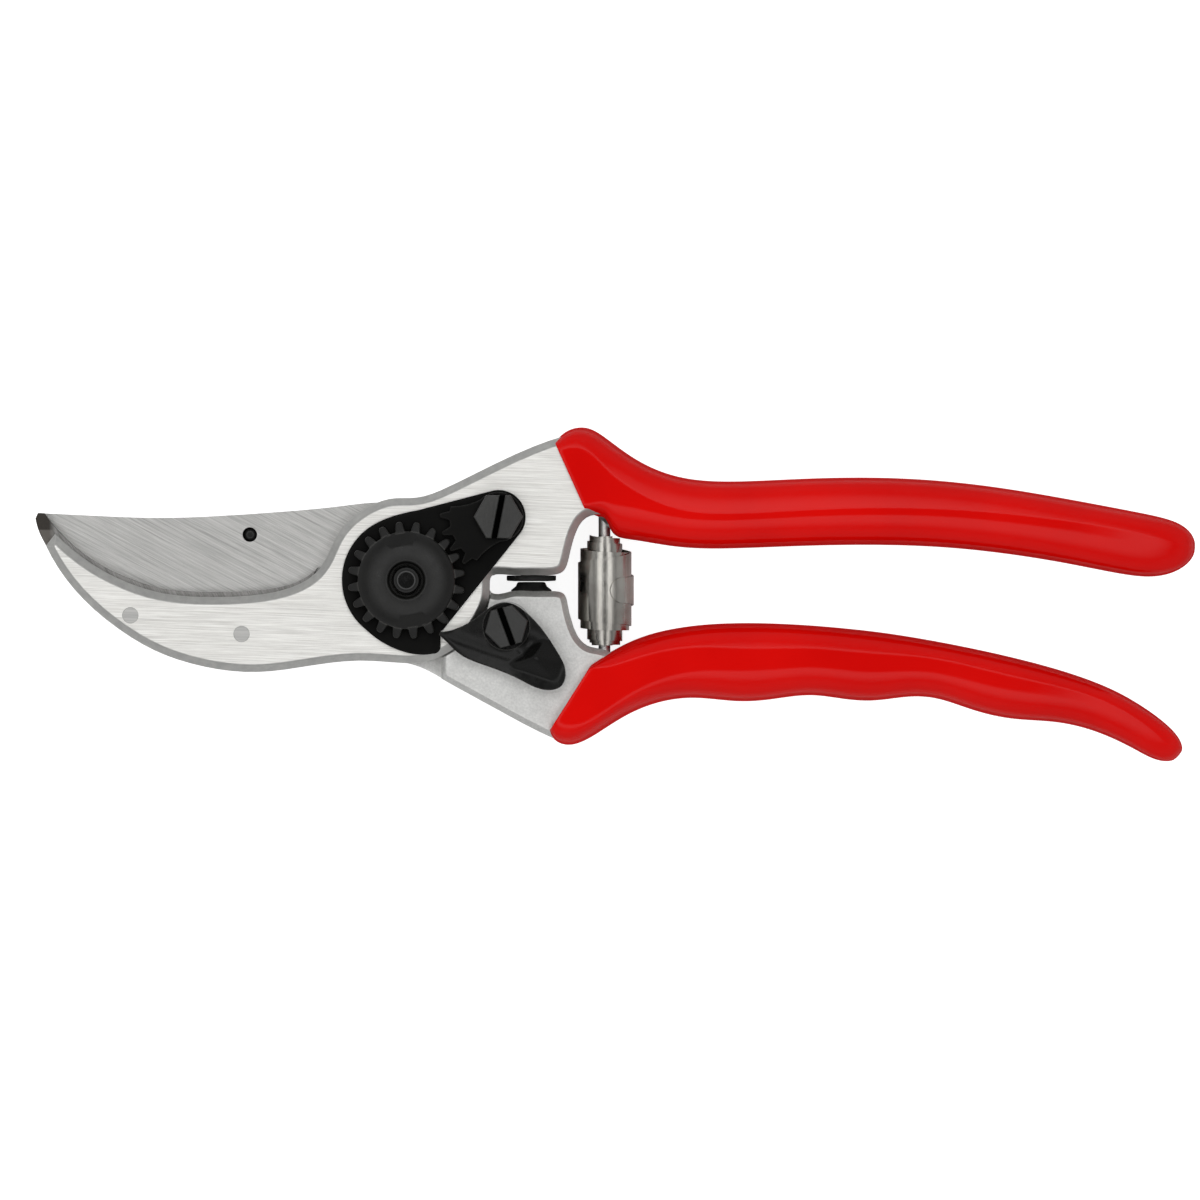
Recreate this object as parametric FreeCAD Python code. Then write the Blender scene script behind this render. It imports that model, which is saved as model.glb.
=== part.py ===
"""Bypass pruning shears, lying flat with the cutting side up. Lengths are in millimetres.

The origin is on the pivot's axis, at the level that the shears rest on. +X runs towards the
grips, so the jaws point to -X, +Y runs to the hook handle's side and +Z is up, towards the nut.
"""

import FreeCAD, Part
import math
import os

V = FreeCAD.Vector
UP = V(0, 0, 1)
ALONG_Y = V(0, 1, 0)

# ---- levels of the pivot stack, from the back of the shears to the front
Z_REST = 0.0  # the bolt head's flat back
Z_BLADE_HANDLE = 1.9  # back of the blade handle
Z_BLADE = 6.8  # back of the cutting blade
BLADE_THICK = 3.4
Z_ANVIL = 10.3  # back of the anvil blade and of the hook handle's boss
ANVIL_THICK = 2.5
Z_FACE = 15.6  # ground front face of the hook handle
PLATE_THICK = 1.0
Z_PLATE = Z_FACE + PLATE_THICK
Z_BLADE_NECK = 13.6  # cast front face of the blade handle's neck
Z_GRIP = 8.2  # middle plane of both grips
Z_BUMPER = 7.75  # height of the bumper's and the stop pad's axes

# ---- pivot
BOSS_R = 15.4
BACK_BOSS_R = 15.1
SWEEP_R = 15.8  # everything on the other handle at the boss's level stays outside this
SHANK_R = 4.5
BOLT_THREAD_R = 2.6
BOLT_FLATS = 7.4  # across the two flats that key the bolt in the hook handle
BOLT_HEAD_R = 7.0
BOLT_HEAD_THICK = 1.55
BOLT_TOP = 21.2
BUSH_R = 6.0
WASHER_R = 6.8
RUNNING_GAP = 0.05

# ---- toothed nut and the toothed segment that locks it: one tooth size, equal pitch circles
TEETH = 20
TOOTH_STEP = 360.0 / TEETH
SEGMENT_AT = V(17.0, 11.7, 0)
PITCH_R = SEGMENT_AT.Length / 2
ADDENDUM = 0.55
DEDENDUM = 1.25
MESH_ANGLE = math.degrees(math.atan2(SEGMENT_AT.y, SEGMENT_AT.x))
NUT_TEETH_TOP = 19.2
NUT_TOP = 20.7
NUT_CROWN_R = 7.4  # where the nut's sloping crown ends
NUT_FLATS = 12.4  # across the two flats for the key
FLATS_TURN = 9.6
SEGMENT_TOP = 18.4
SEGMENT_HUB_R = 4.6
PLATE_R = 12.0
PLATE_EYE_R = 5.0  # the centre plate's rounded end round the segment's screw

# ---- screws, rivets and dowel
SCREW_R = 2.4
SCREW_END = 7.0  # bottom of the segment's screw
CATCH_SCREW_END = 5.0
SLOT_WIDTH = 0.95
SLOT_DEPTH = 1.1
SCREW_CROWN = 0.55  # how far the turned crown eats into a hexagon's corners
SEGMENT_SCREW_FLATS = 7.9
SEGMENT_SCREW_HEAD = 2.4
CATCH_SCREW_FLATS = 7.2
CATCH_SCREW_HEAD = 2.2
RIVETS = [(-51.2, -6.5), (-30.6, -9.95)]
RIVET_R = 1.5
PIN_AT = V(-29.3, 8.5, 0)
PIN_R = 1.35
PIN_BOTTOM = 3.4
PIN_TOP = 9.3  # below the blade's face
PIN_DOME = 0.9

# ---- forgings and blades
HOOK_BEVEL = 1.3
NECK_BEVEL = 1.1
BACK_BEVEL = 0.9
HEEL_R = 13.6  # the cutting blade's round heel behind the boss
EDGE_LAND = 0.3  # thickness left at the cutting edge

# ---- thumb catch
CATCH_AT = V(18.45, -8.55, 0)
CATCH_GAP = 0.15
CATCH_BASE = Z_BLADE_NECK + 0.3
CATCH_TOP = 18.2
CATCH_SEAT = 17.0  # floor of the pocket that the screw's head turns in
POCKET_R = 4.3
SHOULDER_R = 3.1  # the plain length of the screw that the catch turns on
CATCH_WASHER_R = 4.6
RIDGE_PEAK = V(23.9, -14.6, CATCH_TOP + 2.6)
RIDGE_FOOT = [(20.6, -15.9), (25.6, -10.9), (28.2, -16.0), (26.8, -18.9)]

# ---- rubber stops between the necks
PAD_X = 23.0
PAD_R = 4.65
PAD_THICK = 1.15
PAD_SEAT = 0.97
BUMPER_SEAT = -2.05
BUMPER_HIGH = 1.75
BUMPER_R = 3.8
BUMPER_TOP_R = 3.2
STEM_R = 2.0
STEM_LENGTH = 4.0
POCKET_DEEP = 3.0  # the cutter that clears the rubbers' seats

# ---- volute spring, standing along Y between the two pegs
SPRING_X = 36.6
SPRING_R = 5.4
PEG_R = 1.1
PEG_LENGTH = 8.0
HOOK_PEG_Y = 5.4
BLADE_PEG_Y = -16.0
STRIP = 0.5  # strip thickness
WRAP_STEP = 0.65  # each wrap lies this much further in than the one around it
# bottom and top of each wrap, from the outermost in
WRAPS = [(-7.0, 4.0), (-9.2, 6.0), (-10.6, 7.05), (-11.3, 7.35), (-11.7, 7.6)]

COAT = 1.2  # thickness of the dipped coating on the grips


# ---------------------------------------------------------------- helpers
def vec(point, z=0.0):
    return V(point[0], point[1], z)


def polar(radius, degrees, z=0.0):
    a = math.radians(degrees)
    return V(radius * math.cos(a), radius * math.sin(a), z)


def curve(points):
    spline = Part.BSplineCurve()
    spline.interpolate(Points=points)
    return spline.toShape()


def trace(start, *steps):
    """A face from an outline that starts at a point. Each step is ("line", end), ("arc", middle, end)
    or ("curve", point, ..., end); the outline closes itself with a line where it isn't closed."""
    edges = []
    at = vec(start)
    for kind, *points in steps:
        points = [vec(p) for p in points]
        if kind == "line":
            edges.append(Part.makeLine(at, points[0]))
        elif kind == "arc":
            edges.append(Part.Arc(at, points[0], points[1]).toShape())
        else:
            edges.append(curve([at] + points))
        at = points[-1]
    if at.distanceToPoint(vec(start)) > 1e-6:
        edges.append(Part.makeLine(at, vec(start)))
    return Part.Face(Part.Wire(edges))


def prism(face, low, high):
    block = face.copy()
    block.translate(V(0, 0, low))
    return block.extrude(V(0, 0, high - low))


def disc(radius, low, high, at=V(0, 0, 0)):
    return Part.makeCylinder(radius, high - low, V(at.x, at.y, low), UP)


def block(low, high):
    return Part.makeBox(high[0] - low[0], high[1] - low[1], high[2] - low[2], V(*low))


def rim_edges(solid, level):
    """The edges of a solid that lie wholly at one height."""
    return [
        e for e in solid.Edges
        if abs(e.BoundBox.ZMin - level) < 1e-4 and abs(e.BoundBox.ZMax - level) < 1e-4
    ]


def clean(shape):
    """The shape with its split faces merged, where that leaves it valid."""
    merged = shape.removeSplitter()
    return merged if merged.isValid() and merged.Solids else shape


def hexagon(flats, at, turn):
    corners = [at + polar(flats / math.sqrt(3), turn + 60 * k) for k in range(6)]
    return Part.Face(Part.makePolygon(corners + corners[:1]))


def slotted_hex_screw(at, seat, head, flats, stem_bottom, turn, slot_turn, shoulder=None):
    """A hexagon head with a turned-down crown and a driver slot, on a stem.
    A shoulder is (radius, bottom): the plain length that a lever turns on."""
    body = prism(hexagon(flats, at, turn), seat, seat + head)
    cone_r = flats / math.sqrt(3) + 0.1
    foot = V(at.x, at.y, seat)
    body = body.common(Part.makeCone(cone_r + head, cone_r - SCREW_CROWN, head + SCREW_CROWN, foot, UP))
    slot = Part.makeBox(2 * flats, SLOT_WIDTH, SLOT_DEPTH, V(-flats, -SLOT_WIDTH / 2, 0))
    slot.rotate(V(0, 0, 0), UP, slot_turn)
    slot.translate(V(at.x, at.y, seat + head - SLOT_DEPTH))
    body = body.cut(slot)
    if shoulder:
        radius, bottom = shoulder
        body = body.fuse(disc(radius, bottom, seat, at))
        seat = bottom
    body = body.fuse(disc(SCREW_R, stem_bottom, seat, at))
    return clean(body)


def squircle(top, bottom, half_thick, power, inset=0.0, count=20):
    """A closed rounded section on the line from top to bottom, centred on the grip's middle plane."""
    top, bottom = vec(top, Z_GRIP), vec(bottom, Z_GRIP)
    middle = (top + bottom) * 0.5
    across = bottom - top
    half_wide = across.Length / 2 - inset
    across.normalize()
    half_thick -= inset
    points = []
    for k in range(count):
        a = 2 * math.pi * k / count
        c, s = math.cos(a), math.sin(a)
        u = math.copysign(abs(c) ** (2 / power), c) * half_wide
        w = math.copysign(abs(s) ** (2 / power), s) * half_thick
        points.append(middle + across * u + UP * w)
    spline = Part.BSplineCurve()
    spline.interpolate(Points=points, PeriodicFlag=True)
    return Part.Wire([spline.toShape()])


def lofted(stations, inset=0.0):
    wires = [squircle(*station, inset=inset) for station in stations]
    return Part.makeLoft(wires, True, False)


# ---------------------------------------------------------------- grips
# Each station: the point on the upper outline, the point on the lower outline, half the thickness
# and the section's power, from 2 for an ellipse to 4 for a flat-faced block.
HOOK_GRIP = [
    ((27.5, 25.7), (33.2, 12.75), 8.0, 4.0),
    ((29.9, 27.75), (35.2, 11.4), 8.2, 3.8),
    ((33.1, 28.5), (37.9, 8.6), 8.2, 3.5),
    ((36.7, 26.5), (40.4, 7.35), 8.2, 3.2),
    ((41.2, 23.35), (43.8, 7.15), 8.2, 3.0),
    ((46.2, 20.5), (47.8, 6.55), 8.2, 2.8),
    ((52.5, 18.75), (52.9, 5.95), 8.2, 2.7),
    ((61.0, 18.35), (61.0, 5.9), 8.2, 2.6),
    ((75.0, 19.1), (75.0, 6.5), 8.2, 2.6),
    ((89.0, 19.15), (88.6, 6.6), 8.2, 2.6),
    ((101.5, 18.4), (100.3, 6.15), 8.1, 2.6),
    ((113.0, 16.85), (111.0, 5.0), 8.0, 2.6),
    ((124.0, 14.9), (121.6, 3.4), 7.9, 2.6),
    ((134.0, 13.0), (131.6, 1.45), 7.6, 2.5),
    ((140.8, 11.6), (138.8, 0.7), 7.0, 2.4),
    ((144.4, 10.2), (142.8, 1.5), 6.0, 2.3),
    ((146.5, 8.0), (145.8, 3.7), 4.0, 2.1),
]
BLADE_GRIP = [
    ((34.6, -15.2), (26.4, -27.7), 7.6, 4.0),
    ((36.3, -13.85), (27.6, -29.9), 8.0, 3.8),
    ((38.3, -12.65), (30.6, -30.7), 8.2, 3.5),
    ((41.2, -11.4), (34.6, -28.8), 8.2, 3.2),
    ((45.2, -10.0), (40.2, -25.1), 8.2, 3.0),
    ((50.0, -8.95), (46.6, -22.75), 8.2, 2.8),
    ((55.5, -8.2), (53.4, -21.85), 8.2, 2.7),
    ((62.0, -7.95), (61.0, -22.5), 8.2, 2.6),
    ((68.0, -8.0), (67.2, -22.25), 8.2, 2.6),
    ((75.5, -8.4), (74.4, -21.3), 8.2, 2.6),
    ((82.0, -9.0), (80.8, -22.05), 8.2, 2.6),
    ((88.0, -9.65), (86.6, -22.45), 8.2, 2.6),
    ((96.0, -10.9), (94.0, -21.65), 8.1, 2.6),
    ((103.0, -12.25), (100.6, -22.5), 8.0, 2.6),
    ((110.0, -13.75), (106.8, -24.75), 7.9, 2.6),
    ((117.5, -15.6), (113.4, -25.85), 7.8, 2.6),
    ((125.0, -17.9), (120.6, -26.15), 7.5, 2.5),
    ((132.3, -20.85), (127.6, -27.85), 7.0, 2.4),
    ((138.2, -24.55), (133.6, -30.85), 6.2, 2.3),
    ((142.2, -28.0), (137.7, -33.05), 5.0, 2.2),
    ((143.7, -30.3), (140.6, -33.75), 3.0, 2.1),
]


def tang(stations, keep):
    """The forging inside a grip: the same shape, a coating's thickness smaller all round."""
    return lofted(stations[:keep], inset=COAT)


# ---------------------------------------------------------------- hook handle
def hook_outline():
    boss = [polar(BOSS_R, a) for a in (-82, -62, -42, -22, -6)]
    boss_left = [polar(BOSS_R, a) for a in (84, 100, 116, 132, 148)]
    return trace(
        (-66.9, 6.4),
        ("curve", (-61.0, -2.4), (-53.6, -8.9), (-46.1, -13.3), (-38.7, -15.75), (-27.6, -17.0),
         (-16.4, -15.6), (-9.0, -14.9), (-3.5, -15.15), *boss,
         (15.75, 0.9), (17.2, 1.15), (19.5, 0.97), (23.0, 0.97), (26.5, 0.97),
         (28.9, 1.75), (29.95, 4.2), (31.05, 8.4), (32.6, 11.2), (36.0, 12.2)),
        ("line", (37.0, 14.0)),
        ("line", (32.0, 26.0)),
        ("line", (28.9, 26.7)),
        ("curve", (22.0, 24.2), (13.5, 20.2), (7.5, 17.25), *boss_left,
         (-14.9, 4.2), (-17.2, 1.1), (-21.0, -1.15), (-26.5, -2.55), (-34.0, -3.1), (-41.0, -2.95),
         (-46.3, -2.2), (-51.4, -0.6), (-56.3, 1.7), (-61.2, 5.0), (-65.2, 8.6)),
    )


def hook_handle(grip_core):
    body = prism(hook_outline(), Z_BLADE_HANDLE, Z_FACE)
    body = body.makeChamfer(HOOK_BEVEL, rim_edges(body, Z_FACE))
    # the boss and the hook are only the front half of the handle's thickness
    body = body.cut(disc(SWEEP_R, Z_REST, Z_ANVIL))
    body = body.cut(block((-80, -30, Z_REST), (6.0, 30, Z_ANVIL)))
    body = body.cut(prism(anvil_seat(), Z_ANVIL - 1, Z_ANVIL + ANVIL_THICK))
    body = body.fuse(grip_core)
    peg = Part.makeCylinder(PEG_R, PEG_LENGTH, V(SPRING_X, HOOK_PEG_Y, Z_GRIP), ALONG_Y)
    body = body.fuse(peg)
    # keyed bore for the bolt, tapped holes for the segment's screw and the stop pad's stem
    bore = disc(SHANK_R, Z_ANVIL, Z_FACE).common(
        block((-BOLT_FLATS / 2, -9, Z_ANVIL), (BOLT_FLATS / 2, 9, Z_FACE)))
    body = body.cut(bore)
    body = body.cut(disc(SCREW_R, SCREW_END, Z_FACE, SEGMENT_AT))
    clear = Part.makeCylinder(PAD_R + 0.2, POCKET_DEEP, V(PAD_X, PAD_SEAT - POCKET_DEEP, Z_BUMPER), ALONG_Y)
    body = body.cut(clear)
    body = body.cut(Part.makeCylinder(STEM_R, STEM_LENGTH + 0.2, V(PAD_X, 0.9, Z_BUMPER), ALONG_Y))
    for x, y in RIVETS:
        body = body.cut(disc(RIVET_R, Z_ANVIL, Z_FACE, V(x, y, 0)))
    return clean(body)


# ---------------------------------------------------------------- anvil blade and its rivets
def anvil_outline():
    return trace(
        (-68.95, 11.5),
        ("curve", (-68.35, 9.2), (-66.9, 6.3), (-61.0, -2.3), (-53.6, -8.8), (-46.1, -13.2), (-38.7, -15.6),
         (-27.6, -16.85), (-17.5, -15.6)),
        ("curve", (-17.0, -9.0), (-17.9, -3.0), (-16.6, 2.4)),
        ("curve", (-19.1, 0.35), (-22.5, -1.0), (-27.0, -1.8), (-34.0, -2.2), (-41.0, -2.05), (-46.0, -1.4),
         (-51.0, 0.1), (-56.0, 2.35), (-60.9, 5.55), (-64.4, 8.8), (-67.3, 12.45)),
        ("line", (-68.5, 12.5)),
    )


def anvil_seat():
    """The relief that the anvil blade lies in, open to the hook's inner edge and tip."""
    return trace(
        (-75, 20),
        ("line", (-75, -25)),
        ("line", (-17.4, -25)),
        ("line", (-17.4, -15.6)),
        ("curve", (-16.9, -9.0), (-17.8, -3.0), (-16.4, 2.6)),
        ("line", (-16.4, 20)),
    )


def anvil_blade():
    body = prism(anvil_outline(), Z_ANVIL, Z_ANVIL + ANVIL_THICK)
    for x, y in RIVETS:
        body = body.cut(disc(RIVET_R, Z_ANVIL, Z_FACE, V(x, y, 0)))
    return body


def anvil_rivets():
    return Part.makeCompound([disc(RIVET_R, Z_ANVIL, Z_FACE, V(x, y, 0)) for x, y in RIVETS])


# ---------------------------------------------------------------- cutting blade
CUTTING_EDGE = [
    (-67.9, 12.45), (-64.2, 6.4), (-58.5, 1.0), (-51.0, -3.4), (-42.0, -6.0), (-33.0, -6.7), (-24.5, -6.2),
    (-17.5, -6.6)]
GROUND_TO = [
    (-66.9, 12.45), (-61.6, 8.2), (-55.9, 4.2), (-49.4, 0.8), (-41.6, -1.6), (-33.0, -2.4), (-24.8, -2.6),
    (-17.2, -6.0)]


def blade_outline(edge):
    heel = [polar(HEEL_R, a) for a in (-140, -115, -90, -65, -40, -15, 10, 35, 60, 80)]
    first, *rest = edge
    return trace(
        first,
        ("curve", *rest),
        ("curve", *heel, (-4.0, 14.45), (-12.7, 13.75), (-23.8, 12.7), (-35.0, 11.95), (-46.1, 11.6),
         (-57.3, 11.95), first),
    )


def cutting_blade():
    back = blade_outline(GROUND_TO)
    back.translate(V(0, 0, Z_BLADE))
    front = blade_outline(CUTTING_EDGE)
    front.translate(V(0, 0, Z_BLADE + BLADE_THICK - EDGE_LAND))
    body = Part.makeLoft([back.OuterWire, front.OuterWire], True, True)
    body = body.fuse(front.extrude(V(0, 0, EDGE_LAND)))
    body = body.cut(disc(BUSH_R, Z_BLADE, Z_ANVIL))
    return clean(body.cut(disc(PIN_R, Z_BLADE, Z_ANVIL, PIN_AT)))


def blade_pin():
    """The dowel that stops the blade turning on its handle; its domed end stays below the blade's face."""
    body = disc(PIN_R, PIN_BOTTOM, PIN_TOP, PIN_AT)
    return body.makeFillet(PIN_DOME, rim_edges(body, PIN_TOP))


# ---------------------------------------------------------------- blade handle
def blade_handle_outline():
    boss_right = [polar(BACK_BOSS_R, a) for a in (76, 56, 36, 16, 0)]
    boss_left = [polar(BACK_BOSS_R, a) for a in (-104, -120, -136, -152)]
    return trace(
        (38.2, -13.6),
        ("line", (36.5, -16.5)),
        ("line", (31.0, -27.0)),
        ("line", (27.9, -29.7)),
        ("curve", (22.0, -26.85), (14.0, -22.5), (6.5, -18.35), (2.0, -16.05), *boss_left,
         (-15.6, -4.0), (-18.5, 0.2), (-23.5, 2.9), (-29.3, 4.3), (-34.6, 6.0), (-36.9, 8.6), (-34.6, 10.9),
         (-28.5, 11.5), (-18.0, 12.4), (-9.0, 13.4), (-3.0, 14.8), *boss_right,
         (15.45, -2.2), (16.9, -2.55), (19.2, -2.05), (23.0, -2.0), (26.6, -2.0),
         (29.0, -2.5), (29.8, -4.85), (30.45, -7.5), (31.5, -10.2), (33.5, -12.2), (36.0, -12.8),
         (38.2, -13.6)),
    )


def blade_handle(grip_core):
    body = prism(blade_handle_outline(), Z_BLADE_HANDLE, Z_BLADE_NECK)
    for level, bevel in ((Z_BLADE_NECK, NECK_BEVEL), (Z_BLADE_HANDLE, BACK_BEVEL)):
        longest = max(rim_edges(body, level), key=lambda e: e.Length)
        body = body.makeChamfer(bevel, [longest])
    # only the neck stands to full height; the boss and the arm lie behind the blade
    body = body.cut(disc(SWEEP_R, Z_BLADE, Z_FACE))
    body = body.cut(block((-80, -40, Z_BLADE), (6.3, 40, Z_FACE)))
    body = body.fuse(grip_core)
    peg = Part.makeCylinder(PEG_R, PEG_LENGTH, V(SPRING_X, BLADE_PEG_Y, Z_GRIP), ALONG_Y)
    body = body.fuse(peg)
    body = body.cut(disc(BUSH_R, Z_REST, Z_BLADE + 1))
    body = body.cut(disc(PIN_R, PIN_BOTTOM, Z_BLADE + 1, PIN_AT))
    body = body.cut(disc(SCREW_R, CATCH_SCREW_END, Z_FACE, CATCH_AT))
    body = body.cut(Part.makeCylinder(PAD_R, POCKET_DEEP, V(PAD_X, BUMPER_SEAT, Z_BUMPER), ALONG_Y))
    foot = V(PAD_X, BUMPER_SEAT - STEM_LENGTH - 0.15, Z_BUMPER)
    return clean(body.cut(Part.makeCylinder(STEM_R, STEM_LENGTH + 0.4, foot, ALONG_Y)))


# ---------------------------------------------------------------- rubber stops between the necks
def stop_pad():
    plate = Part.makeCylinder(PAD_R, PAD_THICK, V(PAD_X, PAD_SEAT - PAD_THICK, Z_BUMPER), ALONG_Y)
    plate = plate.makeFillet(0.35, plate.Edges)
    stem = Part.makeCylinder(STEM_R, STEM_LENGTH, V(PAD_X, 0.9, Z_BUMPER), ALONG_Y)
    return clean(plate.fuse(stem))


def rubber_bumper():
    dome = Part.makeCone(BUMPER_R, BUMPER_TOP_R, BUMPER_HIGH, V(PAD_X, BUMPER_SEAT, Z_BUMPER), ALONG_Y)
    top = [e for e in dome.Edges if e.BoundBox.YMin > BUMPER_SEAT + BUMPER_HIGH / 2]
    dome = dome.makeFillet(0.7, top)
    foot = V(PAD_X, BUMPER_SEAT - STEM_LENGTH - 0.05, Z_BUMPER)
    return clean(dome.fuse(Part.makeCylinder(STEM_R, STEM_LENGTH + 0.2, foot, ALONG_Y)))


# ---------------------------------------------------------------- pivot
def pivot_bolt():
    head = disc(BOLT_HEAD_R, Z_REST, BOLT_HEAD_THICK)
    head = head.makeChamfer(0.6, rim_edges(head, Z_REST))
    shank = disc(SHANK_R, BOLT_HEAD_THICK - 0.05, Z_FACE)
    flats = block((-9, -9, Z_ANVIL), (9, 9, Z_FACE)).cut(
        block((-BOLT_FLATS / 2, -9, Z_ANVIL), (BOLT_FLATS / 2, 9, Z_FACE)))
    thread = disc(BOLT_THREAD_R, Z_FACE - 1, BOLT_TOP)
    thread = thread.makeFillet(1.2, rim_edges(thread, BOLT_TOP))
    return clean(head.fuse(shank.cut(flats)).fuse(thread))


def bolt_washer():
    ring = disc(WASHER_R, BOLT_HEAD_THICK, Z_BLADE_HANDLE - RUNNING_GAP)
    return ring.cut(disc(SHANK_R, Z_REST, Z_BLADE_HANDLE))


def pivot_bush():
    return disc(BUSH_R, Z_BLADE_HANDLE, Z_BLADE + BLADE_THICK).cut(
        disc(SHANK_R + RUNNING_GAP, Z_REST, Z_FACE))


def centre_plate():
    outline = trace(
        (2.2, 13.0),
        ("line", SEGMENT_AT + polar(PLATE_EYE_R, 104.5)),
        ("arc", SEGMENT_AT + polar(PLATE_EYE_R, 30), SEGMENT_AT + polar(PLATE_EYE_R, -38.5)),
        ("line", (6.7, -9.2)),
        ("arc", (6.3, -9.5), (6.25, -10.0)),
        ("line", (6.25, -12.4)),
        ("arc", (5.9, -13.2), (4.9, -13.6)),
        ("curve", (2.1, -13.75), (-1.0, -13.1), (-4.3, -11.6), (-7.6, -9.1)),
        ("arc", polar(PLATE_R, 180), (-7.7, 9.2)),
        ("curve", (-5.4, 10.7), (-1.8, 12.1), (2.2, 13.0)),
    )
    body = prism(outline, Z_FACE, Z_PLATE)
    body = body.makeFillet(0.35, rim_edges(body, Z_PLATE))
    body = body.cut(disc(BOLT_THREAD_R, Z_REST, Z_PLATE + 1))
    return body.cut(disc(SCREW_R, Z_REST, Z_PLATE + 1, SEGMENT_AT))


# ---------------------------------------------------------------- toothed nut and segment
def tooth(radius_low, radius_high, angle, centre):
    """One rounded tooth, from inside the root circle to the tip circle, pointing out at an angle."""
    half_root, half_tip = 0.95, 0.34
    along = polar(1, angle)
    side = polar(1, angle + 90)
    root = centre + along * (radius_low - 0.5)
    shoulder = centre + along * (radius_high - 0.35)
    tip = centre + along * radius_high
    p1 = root + side * half_root
    p2 = shoulder + side * (half_tip + 0.08)
    p3 = shoulder - side * (half_tip + 0.08)
    p4 = root - side * half_root
    edges = [
        Part.makeLine(p1, p2),
        Part.Arc(p2, tip, p3).toShape(),
        Part.makeLine(p3, p4),
        Part.makeLine(p4, p1),
    ]
    return Part.Face(Part.Wire(edges))


def toothed_nut():
    root_r = PITCH_R - DEDENDUM
    tip_r = PITCH_R + ADDENDUM
    body = disc(root_r, Z_PLATE, NUT_TEETH_TOP)
    for k in range(TEETH):
        angle = MESH_ANGLE + TOOTH_STEP * (k + 0.5)
        body = body.fuse(prism(tooth(root_r, tip_r, angle, V(0, 0, 0)), Z_PLATE, NUT_TEETH_TOP))
    # the crown: a shallow cone on the toothed disc, with two flats for the key
    crown = Part.makeCone(root_r, NUT_CROWN_R, NUT_TOP - NUT_TEETH_TOP, V(0, 0, NUT_TEETH_TOP), UP)
    slab = block((-12, -NUT_FLATS / 2, NUT_TEETH_TOP - 0.6), (12, NUT_FLATS / 2, NUT_TOP))
    slab.rotate(V(0, 0, 0), UP, FLATS_TURN)
    ring = disc(root_r - 0.01, NUT_TEETH_TOP - 0.6, NUT_TOP + 1).cut(slab)
    body = body.fuse(crown).cut(ring)
    body = body.cut(disc(BOLT_THREAD_R, Z_REST, 30))
    countersink = Part.makeCone(BOLT_THREAD_R, BOLT_THREAD_R + 0.8, 0.8, V(0, 0, NUT_TOP - 0.8), UP)
    return clean(body.cut(countersink))


def toothed_segment():
    root_r = PITCH_R - DEDENDUM
    tip_r = PITCH_R + ADDENDUM
    start = MESH_ANGLE + 180
    centre = SEGMENT_AT
    first, last = start - 47, start + 29
    hub = SEGMENT_HUB_R
    outline = trace(
        centre + polar(root_r, first),
        ("arc", centre + polar(root_r, start - 9), centre + polar(root_r, last)),
        ("curve", centre + polar(7.2, last + 4), centre + polar(hub, last + 30)),
        ("arc", centre + polar(hub, start + 180), centre + polar(hub, first - 32)),
        ("curve", centre + polar(7.0, first - 5), centre + polar(root_r, first)),
    )
    body = prism(outline, Z_PLATE, SEGMENT_TOP)
    for k in range(-2, 2):
        face = tooth(root_r, tip_r, start + TOOTH_STEP * k, centre)
        body = body.fuse(prism(face, Z_PLATE, SEGMENT_TOP))
    return clean(body.cut(disc(SCREW_R, Z_REST, 30, centre)))


def segment_screw():
    return slotted_hex_screw(SEGMENT_AT, SEGMENT_TOP, SEGMENT_SCREW_HEAD, SEGMENT_SCREW_FLATS,
                             SCREW_END, 0, 79)


# ---------------------------------------------------------------- thumb catch
def catch_outline():
    return trace(
        (6.2, -9.55),
        ("curve", (9.9, -8.65), (13.0, -6.85), (16.0, -4.7), (18.5, -4.1), (21.2, -5.25), (24.7, -8.6),
         (28.1, -13.6), (29.4, -16.8), (28.6, -19.6), (25.8, -20.3), (20.9, -18.35), (14.2, -15.65),
         (9.6, -13.5), (7.4, -11.4), (6.0, -10.1)),
    )


def thumb_catch():
    body = prism(catch_outline(), CATCH_BASE, CATCH_TOP)
    # the nose passes over the plate, so all that lies below it keeps clear of the boss
    body = body.cut(disc(SWEEP_R + CATCH_GAP, Z_REST, Z_PLATE + CATCH_GAP))
    # thumb ridge: a three-sided peak on the catch's tail
    base = [vec(p, CATCH_TOP - 0.8) for p in RIDGE_FOOT]
    faces = [Part.Face(Part.makePolygon(base + base[:1]))]
    for a, b in zip(base, base[1:] + base[:1]):
        faces.append(Part.Face(Part.makePolygon([b, a, RIDGE_PEAK, b])))
    ridge = Part.makeSolid(Part.makeShell(faces))
    body = body.fuse(ridge)
    body = body.cut(disc(POCKET_R, CATCH_SEAT, 30, CATCH_AT))
    return clean(body.cut(disc(SHOULDER_R + RUNNING_GAP, Z_REST, 30, CATCH_AT)))


def catch_screw():
    return slotted_hex_screw(CATCH_AT, CATCH_SEAT + RUNNING_GAP, CATCH_SCREW_HEAD, CATCH_SCREW_FLATS,
                             CATCH_SCREW_END, 15, -70, shoulder=(SHOULDER_R, Z_BLADE_NECK))


def catch_washer():
    """The thin washer that spaces the catch off the neck."""
    return disc(CATCH_WASHER_R, Z_BLADE_NECK, CATCH_BASE - RUNNING_GAP, CATCH_AT).cut(
        disc(SHOULDER_R, Z_REST, 30, CATCH_AT))


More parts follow.
